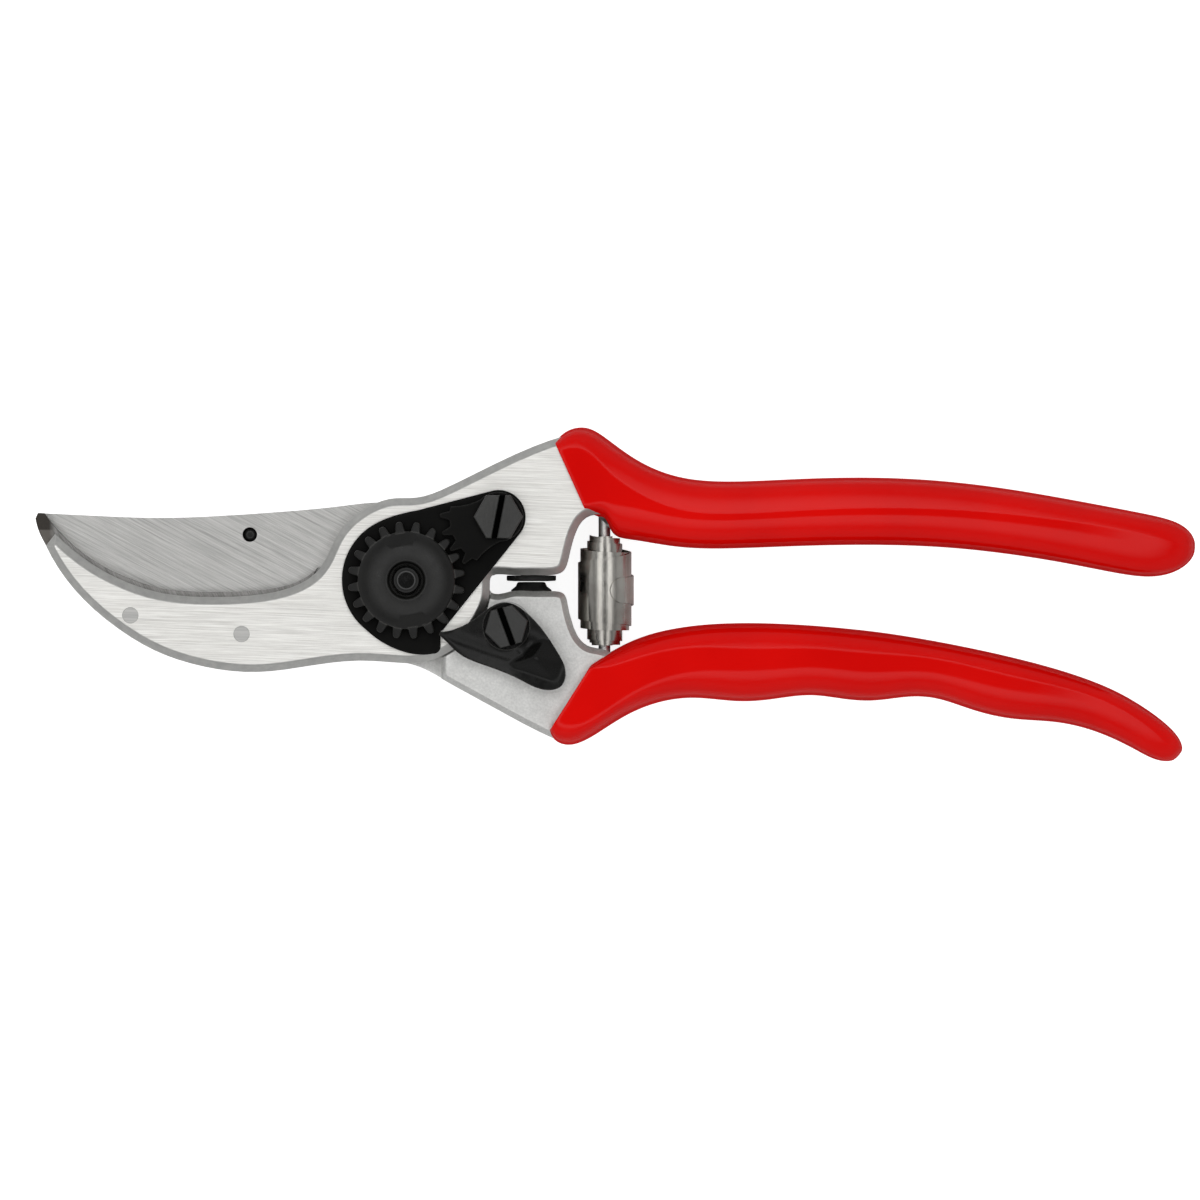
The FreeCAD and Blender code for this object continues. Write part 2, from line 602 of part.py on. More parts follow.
# ---------------------------------------------------------------- volute spring
def spiral_band(outer_r, inner_r, low, high):
    """One turn of a strip standing on edge, wound from one radius in to another."""
    def ring(shift):
        steps = 12
        points = []
        for k in range(steps + 1):
            share = k / steps
            r = outer_r + (inner_r - outer_r) * share + shift
            a = 2 * math.pi * share
            points.append(V(SPRING_X + r * math.cos(a), low, Z_GRIP + r * math.sin(a)))
        return points
    outside, inside = ring(0), ring(-STRIP)
    edges = [
        curve(outside),
        Part.makeLine(outside[-1], inside[-1]),
        curve(inside),
        Part.makeLine(inside[0], outside[0]),
    ]
    return Part.Face(Part.Wire(edges)).extrude(V(0, high - low, 0))


def return_spring():
    """One tapered steel strip, wound up so that the narrow outer wrap hugs the taller inner ones."""
    body = None
    for k, (low, high) in enumerate(WRAPS):
        wrap = spiral_band(SPRING_R - WRAP_STEP * k, SPRING_R - WRAP_STEP * (k + 1), low, high)
        body = wrap if body is None else body.fuse(wrap)
    return body


# ---------------------------------------------------------------- build
def main():
    os.makedirs("parts", exist_ok=True)
    hook_core = tang(HOOK_GRIP, 15)
    blade_core = tang(BLADE_GRIP, 19)
    hook_metal = hook_handle(hook_core)
    blade_metal = blade_handle(blade_core)
    parts = {
        "hook_handle": hook_metal,
        "hook_grip": lofted(HOOK_GRIP).cut(hook_metal),
        "anvil_blade": anvil_blade(),
        "anvil_rivets": anvil_rivets(),
        "centre_plate": centre_plate(),
        "toothed_nut": toothed_nut(),
        "toothed_segment": toothed_segment(),
        "segment_screw": segment_screw(),
        "pivot_bolt": pivot_bolt(),
        "bolt_washer": bolt_washer(),
        "stop_pad": stop_pad(),
        "return_spring": return_spring(),
        "blade_handle": blade_metal,
        "blade_grip": lofted(BLADE_GRIP).cut(blade_metal),
        "cutting_blade": cutting_blade(),
        "blade_pin": blade_pin(),
        "pivot_bush": pivot_bush(),
        "rubber_bumper": rubber_bumper(),
        "catch_screw": catch_screw(),
        "catch_washer": catch_washer(),
        "thumb_catch": thumb_catch(),
    }
    for name, shape in parts.items():
        shape.exportStep(f"parts/{name}.step")
        print(f"{name:16s} solids {len(shape.Solids)} valid {shape.isValid()} {shape.Volume:9.1f} mm3")


main()
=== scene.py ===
"""One-hand bypass pruning shears, lying flat and shut on a pale studio floor. Units are metres."""

import math

import bmesh
import bpy
from mathutils import Matrix, Vector


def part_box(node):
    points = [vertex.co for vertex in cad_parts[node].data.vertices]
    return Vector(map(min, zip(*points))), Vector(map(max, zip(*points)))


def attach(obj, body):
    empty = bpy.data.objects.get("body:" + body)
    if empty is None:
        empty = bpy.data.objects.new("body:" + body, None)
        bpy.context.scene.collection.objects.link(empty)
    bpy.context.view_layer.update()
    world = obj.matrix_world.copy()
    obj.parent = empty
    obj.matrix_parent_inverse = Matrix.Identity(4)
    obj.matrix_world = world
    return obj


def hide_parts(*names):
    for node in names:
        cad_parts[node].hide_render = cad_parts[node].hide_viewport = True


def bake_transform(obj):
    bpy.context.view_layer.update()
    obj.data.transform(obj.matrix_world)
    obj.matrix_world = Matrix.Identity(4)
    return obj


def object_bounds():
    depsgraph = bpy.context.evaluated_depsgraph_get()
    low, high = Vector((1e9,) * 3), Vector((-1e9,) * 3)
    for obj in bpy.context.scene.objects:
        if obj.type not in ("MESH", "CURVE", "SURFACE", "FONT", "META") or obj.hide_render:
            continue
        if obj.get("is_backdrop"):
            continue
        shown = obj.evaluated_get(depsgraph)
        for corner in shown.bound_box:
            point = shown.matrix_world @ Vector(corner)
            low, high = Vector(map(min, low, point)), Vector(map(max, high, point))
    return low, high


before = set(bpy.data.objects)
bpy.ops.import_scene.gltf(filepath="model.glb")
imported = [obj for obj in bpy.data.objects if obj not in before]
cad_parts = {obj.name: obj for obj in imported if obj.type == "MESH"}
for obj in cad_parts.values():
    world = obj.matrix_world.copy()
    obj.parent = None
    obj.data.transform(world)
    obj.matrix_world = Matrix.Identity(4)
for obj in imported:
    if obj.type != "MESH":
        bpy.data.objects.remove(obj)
cad_low, cad_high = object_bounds()


# ---- Hook handle: one drop forging in aluminium alloy that runs from the grip through the pivot boss
# ---- to the hook jaw. Its front face is ground flat on a belt, the sides and the bevels keep the
# ---- satin skin of the blasted forging, and every edge is tumbled round.

MM = 0.001  # a millimetre, in metres


def feed(tree, value, socket):
    """Links another socket into this one, or sets it to a plain value."""
    if isinstance(value, bpy.types.NodeSocket):
        tree.links.new(value, socket)
    else:
        socket.default_value = value


def node(tree, kind, inputs=None, **settings):
    """Adds a shader node. An input is a socket to link from, or a plain value."""
    made = tree.nodes.new("ShaderNode" + kind)
    for name, value in settings.items():
        setattr(made, name, value)
    for name, value in (inputs or {}).items():
        feed(tree, value, made.inputs[name])
    return made


def object_place(tree):
    """Where a point of the surface lies on its own object."""
    return node(tree, "TexCoord").outputs["Object"]


def along(tree, axis):
    return node(tree, "SeparateXYZ", {0: object_place(tree)}).outputs[axis]


def noise(tree, place, scale, detail, **more):
    return node(tree, "TexNoise", {"Vector": place, "Scale": scale, "Detail": detail, **more}).outputs[0]


def ramp(tree, value, low, high, to_low=0.0, to_high=1.0):
    """Stretches a value's range from low..high to another one, and clips it there."""
    return node(tree, "MapRange", {"Value": value, "From Min": low, "From Max": high,
                                   "To Min": to_low, "To Max": to_high}).outputs[0]


def blend_values(tree, share, first, second):
    return node(tree, "Mix", {0: share, 2: first, 3: second}).outputs[0]


def blend_colours(tree, share, first, second):
    mixed = node(tree, "Mix", data_type="RGBA")
    sockets = {socket.identifier: socket for socket in mixed.inputs}
    feed(tree, share, sockets["Factor_Float"])
    for name, colour in (("A_Color", first), ("B_Color", second)):
        feed(tree, (*colour, 1.0) if isinstance(colour, tuple) else colour, sockets[name])
    return next(socket for socket in mixed.outputs if socket.identifier == "Result_Color")


def maths(tree, operation, *values):
    made = node(tree, "Math", operation=operation)
    for k, value in enumerate(values):
        feed(tree, value, made.inputs[k])
    return made.outputs[0]


def start_group(name, inputs, outputs):
    group = bpy.data.node_groups.new(name, "ShaderNodeTree")
    for label, default in inputs.items():
        given = group.interface.new_socket(label, in_out="INPUT", socket_type="NodeSocketFloat")
        given.default_value = default
    for label in outputs:
        group.interface.new_socket(label, in_out="OUTPUT", socket_type="NodeSocketFloat")
    return group, group.nodes.new("NodeGroupInput"), group.nodes.new("NodeGroupOutput")


def place_group(tree, group, **values):
    made = tree.nodes.new("ShaderNodeGroup")
    made.node_tree = group
    for name, value in values.items():
        made.inputs[name.replace("_", " ")].default_value = value
    return made


def start_material(name, **constants):
    material = bpy.data.materials.new(name)
    material.use_nodes = True
    tree = material.node_tree
    shader = tree.nodes["Principled BSDF"]
    for socket, value in constants.items():
        shader.inputs[socket.replace("_", " ")].default_value = value
    return material, tree, shader


def finish_surface(tree, shader, colour, rough, height, strength, depth):
    """Gives the shader its colour and roughness, and the fine relief that a height makes."""
    relief = node(tree, "Bump", {"Height": height, "Strength": strength, "Distance": depth}).outputs[0]
    tree.links.new(colour, shader.inputs["Base Color"])
    tree.links.new(rough, shader.inputs["Roughness"])
    tree.links.new(relief, shader.inputs["Normal"])


def grinding_lines():
    """Long fine lines left by a belt, with a few deeper scratches among them."""
    group, given, made = start_group(
        "grinding lines", {"Angle": 0.0, "Lines per metre": 2600.0, "Run": 55.0}, ["Lines", "Scratches"])
    turned = node(group, "VectorRotate", {"Vector": object_place(group), "Angle": given.outputs["Angle"]},
                  rotation_type="Z_AXIS").outputs[0]
    stretch = node(group, "CombineXYZ", {"X": given.outputs["Run"], "Y": given.outputs["Lines per metre"],
                                         "Z": given.outputs["Run"]}).outputs[0]
    spread = node(group, "VectorMath", {0: turned, 1: stretch}, operation="MULTIPLY").outputs[0]
    fine = noise(group, spread, 1.0, 5.0, Roughness=0.8)
    coarse = noise(group, spread, 0.55, 3.0, Roughness=0.6)
    group.links.new(ramp(group, fine, 0.36, 0.64), made.inputs["Lines"])
    group.links.new(ramp(group, coarse, 0.60, 0.72), made.inputs["Scratches"])
    return group


def forged_skin():
    """The fine pebbled skin of a blasted forging, its slow mottling and the wear of handling."""
    group, _, made = start_group("forged skin", {}, ["Grain", "Mottle", "Handling"])
    place = object_place(group)
    grain = noise(group, place, 2600.0, 3.0)
    mottle = noise(group, place, 620.0, 4.0, Roughness=0.65)
    handling = noise(group, place, 95.0, 3.0, Distortion=0.8)
    group.links.new(grain, made.inputs["Grain"])
    group.links.new(ramp(group, mottle, 0.3, 0.7), made.inputs["Mottle"])
    group.links.new(ramp(group, handling, 0.35, 0.68), made.inputs["Handling"])
    return group


def worn_and_highlit_edges():
    """1 along the rounded edges, polished by handling and given a painted highlight, and 0 on open faces.
    """
    group, given, made = start_group("worn and highlit edges", {"Reach": 0.0006}, ["Edge"])
    eased = node(group, "Bevel", {"Radius": given.outputs["Reach"]}, samples=6).outputs[0]
    plain = node(group, "NewGeometry").outputs["Normal"]
    same = node(group, "VectorMath", {0: eased, 1: plain}, operation="DOT_PRODUCT").outputs["Value"]
    group.links.new(ramp(group, same, 0.995, 0.93), made.inputs["Edge"])
    return group


GRINDING = grinding_lines()
FORGED_SKIN = forged_skin()
WORN_AND_HIGHLIT_EDGES = worn_and_highlit_edges()


def ground_aluminium():
    material, tree, shader = start_material("ground aluminium", Metallic=1.0)
    belt = place_group(tree, GRINDING, Angle=math.radians(2.0), Lines_per_metre=4200.0, Run=70.0)
    skin = place_group(tree, FORGED_SKIN)
    edge = place_group(tree, WORN_AND_HIGHLIT_EDGES, Reach=0.0004).outputs["Edge"]
    up = node(tree, "SeparateXYZ", {0: node(tree, "NewGeometry").outputs["Normal"]}).outputs["Z"]
    flat = ramp(tree, up, 0.975, 0.997)
    lines, scratches = belt.outputs["Lines"], belt.outputs["Scratches"]
    bright = blend_colours(tree, lines, (0.65, 0.64, 0.61), (0.91, 0.905, 0.875))
    bright = blend_colours(tree, maths(tree, "MULTIPLY", scratches, 0.5), bright, (0.50, 0.49, 0.47))
    satin = blend_colours(tree, skin.outputs["Mottle"], (0.49, 0.49, 0.48), (0.60, 0.60, 0.58))
    colour = blend_colours(tree, flat, satin, bright)
    # Lighter along the rounded edges: partly worn polish, partly a painted highlight.
    colour = blend_colours(tree, maths(tree, "MULTIPLY", edge, 0.25), colour, (0.86, 0.86, 0.84))
    rough_ground = ramp(tree, lines, 0.0, 1.0, 0.48, 0.36)
    rough_skin = ramp(tree, skin.outputs["Handling"], 0.0, 1.0, 0.50, 0.40)
    rough = blend_values(tree, flat, rough_skin, rough_ground)
    height = blend_values(tree, flat, skin.outputs["Grain"], lines)
    finish_surface(tree, shader, colour, rough, height, 0.35, 0.00004)
    return material


def join_faces(shape):
    """Joins points that coincide, and makes one face of triangles that lie in one plane."""
    bmesh.ops.remove_doubles(shape, verts=shape.verts, dist=2e-6)
    bmesh.ops.dissolve_limit(shape, angle_limit=math.radians(0.7), verts=shape.verts, edges=shape.edges)


def merged_copy(cad_node):
    """A copy of a CAD node's shape, with its loose triangles joined into whole faces."""
    shape = bmesh.new()
    shape.from_mesh(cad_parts[cad_node].data)
    join_faces(shape)
    return shape


def round_edges(shape, width, segments=3, sharper_than=28.0, where=lambda edge: True):
    """Rounds the edges that are sharper than an angle in degrees."""
    limit = math.radians(sharper_than)
    inner = [e for e in shape.edges if len(e.link_faces) == 2]
    edges = [e for e in inner if e.calc_face_angle(0.0) > limit and where(e)]
    bmesh.ops.bevel(shape, geom=edges, offset=width, offset_type="OFFSET", segments=segments, profile=0.5,
                    affect="EDGES", material=-1, clamp_overlap=True, loop_slide=True)


def make_object(shape, name, material, sharp):
    """Turns a finished shape into an object. Its edges stay sharp from an angle in degrees."""
    mesh = bpy.data.meshes.new(name)
    shape.to_mesh(mesh)
    shape.free()
    mesh.materials.append(material)
    mesh.shade_smooth()
    mesh.set_sharp_from_angle(angle=math.radians(sharp))
    made = bpy.data.objects.new(name, mesh)
    bpy.context.scene.collection.objects.link(made)
    return made


def settle(shape, name, material, body, slot, *cad_nodes, sharp=35.0, subdivided=0):
    """Makes a finished shape into a piece that rides on a body and stands for its CAD nodes."""
    piece = make_object(shape, name, material, sharp)
    if subdivided:
        rounding = piece.modifiers.new("rounded coat", "SUBSURF")
        rounding.levels = rounding.render_levels = subdivided
    else:
        evened = piece.modifiers.new("even shading", "WEIGHTED_NORMAL")
        evened.keep_sharp = True
    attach(piece, body)
    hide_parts(*cad_nodes)
    return piece


# Places (x, y, reach) in millimetres where edges stay sharp: the pivot, the segment's screw, the rivets.
HOLES = [(0.0, 0.0, 5.0), (17.0, 11.7, 2.8), (-51.2, -6.5, 1.9), (-30.6, -9.95, 1.9)]
FACE_ABOVE, SIDES_BELOW = 0.0155, 0.0145
FACE_ROUNDING, SIDE_ROUNDING = 0.0010, 0.0006


def lowest(edge):
    return min(v.co.z for v in edge.verts)


def off_the_holes(edge):
    middle = (edge.verts[0].co + edge.verts[1].co) / 2 / MM
    return all(math.hypot(middle.x - x, middle.y - y) > reach for x, y, reach in HOLES)


def round_the_face(edge):
    return lowest(edge) > FACE_ABOVE and off_the_holes(edge)


def round_the_side(edge):
    return lowest(edge) < SIDES_BELOW and off_the_holes(edge)


forging = merged_copy("hook_handle")
round_edges(forging, FACE_ROUNDING, segments=5, where=round_the_face)
round_edges(forging, SIDE_ROUNDING, segments=4, where=round_the_side)
settle(forging, "hook_handle_forging", ground_aluminium(), "hook_side", "bright_aluminium", "hook_handle")


# ---- Blade handle: the second forging. It backs the cutting blade, passes under the boss and comes up
# ---- beside it as the neck that carries the catch and the lower rubber. It is blasted all over, so it
# ---- has no ground face, only the softer sheen of a satin skin.

def blasted_aluminium():
    material, tree, shader = start_material("blasted aluminium", Metallic=1.0)
    skin = place_group(tree, FORGED_SKIN)
    edge = place_group(tree, WORN_AND_HIGHLIT_EDGES, Reach=0.0008).outputs["Edge"]
    colour = blend_colours(tree, skin.outputs["Grain"], (0.52, 0.52, 0.51), (0.86, 0.86, 0.84))
    dull = maths(tree, "MULTIPLY", skin.outputs["Mottle"], 0.35)
    colour = blend_colours(tree, dull, colour, (0.50, 0.50, 0.49))
    # Lighter along the rounded edges: partly worn polish, partly a painted highlight.
    colour = blend_colours(tree, maths(tree, "MULTIPLY", edge, 0.4), colour, (0.84, 0.84, 0.82))
    rough = ramp(tree, skin.outputs["Handling"], 0.0, 1.0, 0.52, 0.40)
    finish_surface(tree, shader, colour, rough, skin.outputs["Grain"], 0.5, 0.00006)
    return material


NECK_END_X, NECK_ABOVE = 0.0066, 0.0120
NECK_END_ROUNDING, NECK_ROUNDING = 0.0016, 0.0009


def at_the_necks_end(edge):
    return max(v.co.x for v in edge.verts) < NECK_END_X and lowest(edge) > NECK_ABOVE


forging = merged_copy("blade_handle")
round_edges(forging, NECK_END_ROUNDING, segments=6, where=at_the_necks_end)
round_edges(forging, NECK_ROUNDING, segments=5)
settle(forging, "blade_handle_forging", blasted_aluminium(), "blade_side", "satin_aluminium",
       "blade_handle")


# ---- Cutting blade: hardened spring steel, ground flat on the face that slides along the anvil, with a
# ---- slanting grain from the wheel. The bevel is on its back. A black dowel keys it to its handle.

def ground_blade_steel():
    material, tree, shader = start_material("ground blade steel", Metallic=1.0)
    wheel = place_group(tree, GRINDING, Angle=math.radians(28.0), Lines_per_metre=3800.0, Run=70.0)
    skin = place_group(tree, FORGED_SKIN)
    lines, scratches = wheel.outputs["Lines"], wheel.outputs["Scratches"]
    colour = blend_colours(tree, lines, (0.37, 0.37, 0.36), (0.575, 0.57, 0.555))
    colour = blend_colours(tree, maths(tree, "MULTIPLY", scratches, 0.5), colour, (0.22, 0.215, 0.21))
    rough = blend_values(tree, skin.outputs["Handling"], 0.36, 0.44)
    finish_surface(tree, shader, colour, rough, lines, 0.4, 0.00004)
    return material


BLADE_ROUNDING = 0.00018

blade = merged_copy("cutting_blade")
round_edges(blade, BLADE_ROUNDING, segments=2)
settle(blade, "cutting_blade_steel", ground_blade_steel(), "blade_side", "blade_steel", "cutting_blade")


# ---- Anvil blade: a dark hardened insert in the hook's inner edge and tip, held by two rivets that are
# ---- ground off flush with the hook's face. Its tip is painted darker, as painted shade of two facets.

ANVIL_TIP_SHADE = (-0.0652, -0.0664)  # the x where the tip's painted shade starts, and where it is full
TIP_FACET_SHADES = (0.0092, 0.0095)  # the y where the tip's lighter painted lower facet ends, and where its darker painted upper one starts
ANVIL_ROUNDING, RIVET_ROUNDING = 0.0002, 0.00008


def anvil_blade_steel():
    material, tree, shader = start_material("hardened anvil steel", Metallic=1.0)
    wheel = place_group(tree, GRINDING, Angle=math.radians(62.0), Lines_per_metre=2400.0, Run=120.0)
    skin = place_group(tree, FORGED_SKIN)
    colour = blend_colours(tree, wheel.outputs["Lines"], (0.17, 0.167, 0.16), (0.33, 0.325, 0.315))
    # Painted shade: the tip is darker, and its upper facet darker still than its lower one.
    tip_shade = ramp(tree, along(tree, "X"), *ANVIL_TIP_SHADE)
    upper = ramp(tree, along(tree, "Y"), *TIP_FACET_SHADES)
    facet_shades = blend_colours(tree, upper, (0.13, 0.12, 0.11), (0.05, 0.045, 0.04))
    colour = blend_colours(tree, tip_shade, colour, facet_shades)
    rough = ramp(tree, skin.outputs["Handling"], 0.0, 1.0, 0.38, 0.48)
    finish_surface(tree, shader, colour, rough, wheel.outputs["Lines"], 0.4, 0.00004)
    return material


def flush_rivet_steel():
    material, tree, shader = start_material("flush rivet steel", Metallic=1.0)
    belt = place_group(tree, GRINDING, Angle=math.radians(2.0), Lines_per_metre=2300.0, Run=48.0)
    colour = blend_colours(tree, belt.outputs["Lines"], (0.42, 0.42, 0.41), (0.56, 0.555, 0.54))
    rough = ramp(tree, belt.outputs["Lines"], 0.0, 1.0, 0.46, 0.38)
    finish_surface(tree, shader, colour, rough, belt.outputs["Lines"], 0.3, 0.00004)
    return material


anvil = merged_copy("anvil_blade")
round_edges(anvil, ANVIL_ROUNDING, segments=2)
settle(anvil, "anvil_blade_steel", anvil_blade_steel(), "hook_side", "anvil_steel", "anvil_blade")

rivets = merged_copy("anvil_rivets")
round_edges(rivets, RIVET_ROUNDING, segments=2)
settle(rivets, "anvil_rivets_steel", flush_rivet_steel(), "hook_side", "rivet_steel", "anvil_rivets")


# ---- Black fittings: the centre plate, the toothed segment, the two hexagon screws and the blade's dowel
# ---- are steel, blackened and oiled. The edges are painted lighter, partly as wear and partly as a painted
# ---- highlight, the screws' tops carry faint machining marks, and their slots are painted black as shade.

def black_steel(name, colour, sheen, gloss, lines_at=None, slot_shade_below=None):
    """A blackened finish: its colour, its roughness, how much it reflects, the angle of its machining
    marks in degrees, and the height below which a screw's slot is painted black and dull as shade."""
    material, tree, shader = start_material(name, Metallic=0.0, Specular_IOR_Level=gloss)
    skin = place_group(tree, FORGED_SKIN)
    edge = place_group(tree, WORN_AND_HIGHLIT_EDGES, Reach=0.0003).outputs["Edge"]
    lighter = tuple(c * 1.6 + 0.001 for c in colour)
    shade = blend_colours(tree, skin.outputs["Handling"], colour, lighter)
    # Lighter along the rounded edges: partly worn polish, partly a painted highlight.
    shade = blend_colours(tree, maths(tree, "MULTIPLY", edge, 0.35), shade, (0.085, 0.083, 0.078))
    rough = ramp(tree, skin.outputs["Mottle"], 0.0, 1.0, sheen, sheen + 0.12)
    if slot_shade_below is not None:
        # Painted shade: below that height the slot is black, rough and without gloss.
        outside_slot_shade = ramp(tree, along(tree, "Z"), slot_shade_below - 0.0002, slot_shade_below + 0.0002)
        shade = blend_colours(tree, outside_slot_shade, (0.001, 0.001, 0.001), shade)
        rough = ramp(tree, outside_slot_shade, 0.0, 1.0, 0.85, sheen)
        tree.links.new(ramp(tree, outside_slot_shade, 0.0, 1.0, 0.0, gloss), shader.inputs["Specular IOR Level"])
    height = skin.outputs["Grain"]
    if lines_at is not None:
        marks = place_group(tree, GRINDING, Angle=math.radians(lines_at), Lines_per_metre=3000.0, Run=90.0)
        height = maths(tree, "ADD", height, marks.outputs["Lines"])
    finish_surface(tree, shader, shade, rough, height, 0.3, 0.00004)
    return material


PLATE_ROUNDING, SEGMENT_ROUNDING = 0.00012, 0.00018

plate = merged_copy("centre_plate")
round_edges(plate, PLATE_ROUNDING, segments=2)
plate_black = black_steel("blackened plate", (0.0022, 0.0022, 0.0020), 0.45, 0.05)
settle(plate, "centre_plate_black", plate_black, "hook_side", "black_steel", "centre_plate")

segment = merged_copy("toothed_segment")
round_edges(segment, SEGMENT_ROUNDING, segments=3)
segment_black = black_steel("blackened segment", (0.0018, 0.0018, 0.0016), 0.34, 0.07)
settle(segment, "toothed_segment_black", segment_black, "hook_side", "black_steel", "toothed_segment")

HEAD_ROUNDING, HEAD_TOP = 0.0003, 0.0010  # HEAD_TOP is how far down a screw's head the rounding goes
SLOT_DEPTH = 0.0008

for cad_node, body, lines_at, tone in (
        ("segment_screw", "hook_side", 100.0, 0.014), ("catch_screw", "blade_side", 20.0, 0.009)):
    screw = merged_copy(cad_node)
    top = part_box(cad_node)[1].z
    round_edges(screw, HEAD_ROUNDING, segments=4, where=lambda edge: lowest(edge) > top - HEAD_TOP)
    screw_black = black_steel(
        "blackened " + cad_node.replace("_", " "), (tone, tone, tone * 0.93), 0.30, 0.50,
        lines_at=lines_at, slot_shade_below=top - SLOT_DEPTH)
    settle(screw, cad_node + "_black", screw_black, body, "black_steel", cad_node)

dowel = merged_copy("blade_pin")
dowel_black = black_steel("blackened dowel", (0.003, 0.003, 0.003), 0.22, 0.35)
settle(dowel, "blade_pin_black", dowel_black, "blade_side", "black_steel", "blade_pin")


# ---- Thumb catch: a blackened steel lever, pressed to a hollow under the thumb and a crest that the thumb
# ---- pushes on. It turns on the shoulder of its slotted screw, and its nose slides over the centre plate.

# All in millimetres: the height of the flat top, the crest's peak and its four feet, the hollow beside the
# crest, and the long shallow valley that runs up to it.
CATCH_TOP = 18.2
CREST = Vector((23.7, -14.3, 2.55))
CREST_FEET = [Vector(foot) for foot in (
    (25.9, -10.6, 0.0), (19.2, -15.8, 0.0), (27.4, -18.3, 0.25), (28.9, -15.4, 0.1))]
HOLLOW, HOLLOW_DEPTH, HOLLOW_SPREAD = Vector((22.9, -12.0)), 0.75, 2.6
VALLEY = [Vector(point) for point in ((7.5, -10.9), (11.0, -12.2), (15.0, -13.6), (19.5, -15.0))]
VALLEY_DEPTH, VALLEY_WIDTH = 0.45, 1.6
FAR_AWAY = 9.0

CATCH_ROUNDING = 0.0005
FORMING_STEP = 0.00032  # the width of the strips that the flat top is cut into before it is pressed
LEVEL = 0.999  # a face whose normal rises more than this is level
TOUCHING = 1e-6


def catch_rise(x, y):
    """How far the catch's top stands above its flat at a place, all in millimetres."""
    here = Vector((x, y))
    crest = FAR_AWAY
    for foot, following in zip(CREST_FEET, CREST_FEET[1:] + CREST_FEET[:1]):
        slope = (foot - CREST).cross(following - CREST)
        crest = min(crest, CREST.z - (slope.x * (x - CREST.x) + slope.y * (y - CREST.y)) / slope.z)
    hollow = -HOLLOW_DEPTH * math.exp(-(here - HOLLOW).length_squared / HOLLOW_SPREAD)
    apart = FAR_AWAY
    for start, end in zip(VALLEY, VALLEY[1:]):
        share = min(max((here - start).dot(end - start) / (end - start).length_squared, 0.0), 1.0)
        apart = min(apart, (here - start.lerp(end, share)).length)
    valley = -VALLEY_DEPTH * math.exp(-(apart / VALLEY_WIDTH) ** 2)
    return max(crest, min(hollow, valley))


def on_the_top(vert):
    return vert.co.z > CATCH_TOP * MM - TOUCHING


def cut_into_strips(shape, across, low, high):
    """Cuts the level top along evenly spaced planes that face one way."""
    for k in range(1, int((high - low) / FORMING_STEP)):
        shape.normal_update()
        top = [f for f in shape.faces if f.normal.z > LEVEL and on_the_top(f.verts[0])]
        edges = {e for f in top for e in f.edges}
        verts = {v for f in top for v in f.verts}
        bmesh.ops.bisect_plane(shape, geom=[*top, *edges, *verts], dist=TOUCHING,
                               plane_co=across * (low + FORMING_STEP * k), plane_no=across)


lever = merged_copy("thumb_catch")
for vert in lever.verts:
    vert.co.z = min(vert.co.z, CATCH_TOP * MM)
join_faces(lever)
round_edges(lever, CATCH_ROUNDING, segments=4)
low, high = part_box("thumb_catch")
cut_into_strips(lever, Vector((1.0, 0.0, 0.0)), low.x, high.x)
cut_into_strips(lever, Vector((0.0, 1.0, 0.0)), low.y, high.y)
pressed = [v for v in lever.verts if on_the_top(v)]
for vert in pressed:
    if all(f.normal.z >= LEVEL for f in vert.link_faces):
        vert.co.z += catch_rise(vert.co.x / MM, vert.co.y / MM) * MM
for _ in range(3):
    bmesh.ops.smooth_vert(lever, verts=pressed, factor=0.5, use_axis_z=True)
lever_black = black_steel("blackened catch", (0.0026, 0.0026, 0.0024), 0.20, 0.22)
settle(lever, "thumb_catch_black", lever_black, "catch", "black_steel", "thumb_catch", sharp=50.0)


# ---- Toothed nut: turned steel, domed, with twenty rounded teeth round its foot and two sloping flats that
# ---- the key grips. The bolt's black end stands in a recess at its middle.

# Outlines in millimetres: (radius, height) round half the dome's section, and (out, across) round a tooth.
NUT_SECTION = [
    (2.7, 16.6), (9.0, 16.6), (9.0, 19.0), (8.75, 19.35), (8.2, 19.72), (7.3, 20.1), (6.2, 20.4),
    (5.0, 20.6), (4.0, 20.7), (3.7, 20.7), (3.5, 20.62), (3.35, 20.4), (3.25, 19.9), (3.1, 19.7),
    (2.7, 19.6)]
TOOTH_OUTLINE = [(8.6, -0.98), (9.6, -0.80), (10.5, -0.62), (10.82, -0.34), (10.87, 0.0),
                 (10.82, 0.34), (10.5, 0.62), (9.6, 0.80), (8.6, 0.98)]
TOOTH_COUNT = 20
TOOTH_FOOT, TOOTH_TOP = 16.6, 19.15
TOOTH_SLOPE = 0.32  # how fast a tooth's top falls outwards
SEGMENT_ANGLE = math.atan2(11.7, 17.0)  # the way to the segment's screw, where a gap between teeth faces

FLATS_TURN = math.radians(9.6)
FLAT_OUT, FLAT_HEIGHT = 0.0066, 0.0203  # a place on each flat
FLAT_SLOPE = (1.35, 2.2)  # how far a flat's normal leans out, and how far up

NUT_ROUNDING, TOOTH_ROUNDING = 0.00012, 0.00030


def spin_profile(points, steps=96):
    """A closed turned shape from (radius, height) points in millimetres that go round its section."""
    shape = bmesh.new()
    verts = [shape.verts.new((r * MM, 0.0, z * MM)) for r, z in points]
    edges = [shape.edges.new((a, b)) for a, b in zip(verts, verts[1:] + verts[:1])]
    bmesh.ops.spin(shape, geom=verts + edges, cent=(0, 0, 0), axis=(0, 0, 1), dvec=(0, 0, 0),
                   angle=math.tau, steps=steps, use_merge=True, use_duplicate=False)
    bmesh.ops.remove_doubles(shape, verts=shape.verts, dist=1e-6)
    bmesh.ops.recalc_face_normals(shape, faces=shape.faces)
    return shape


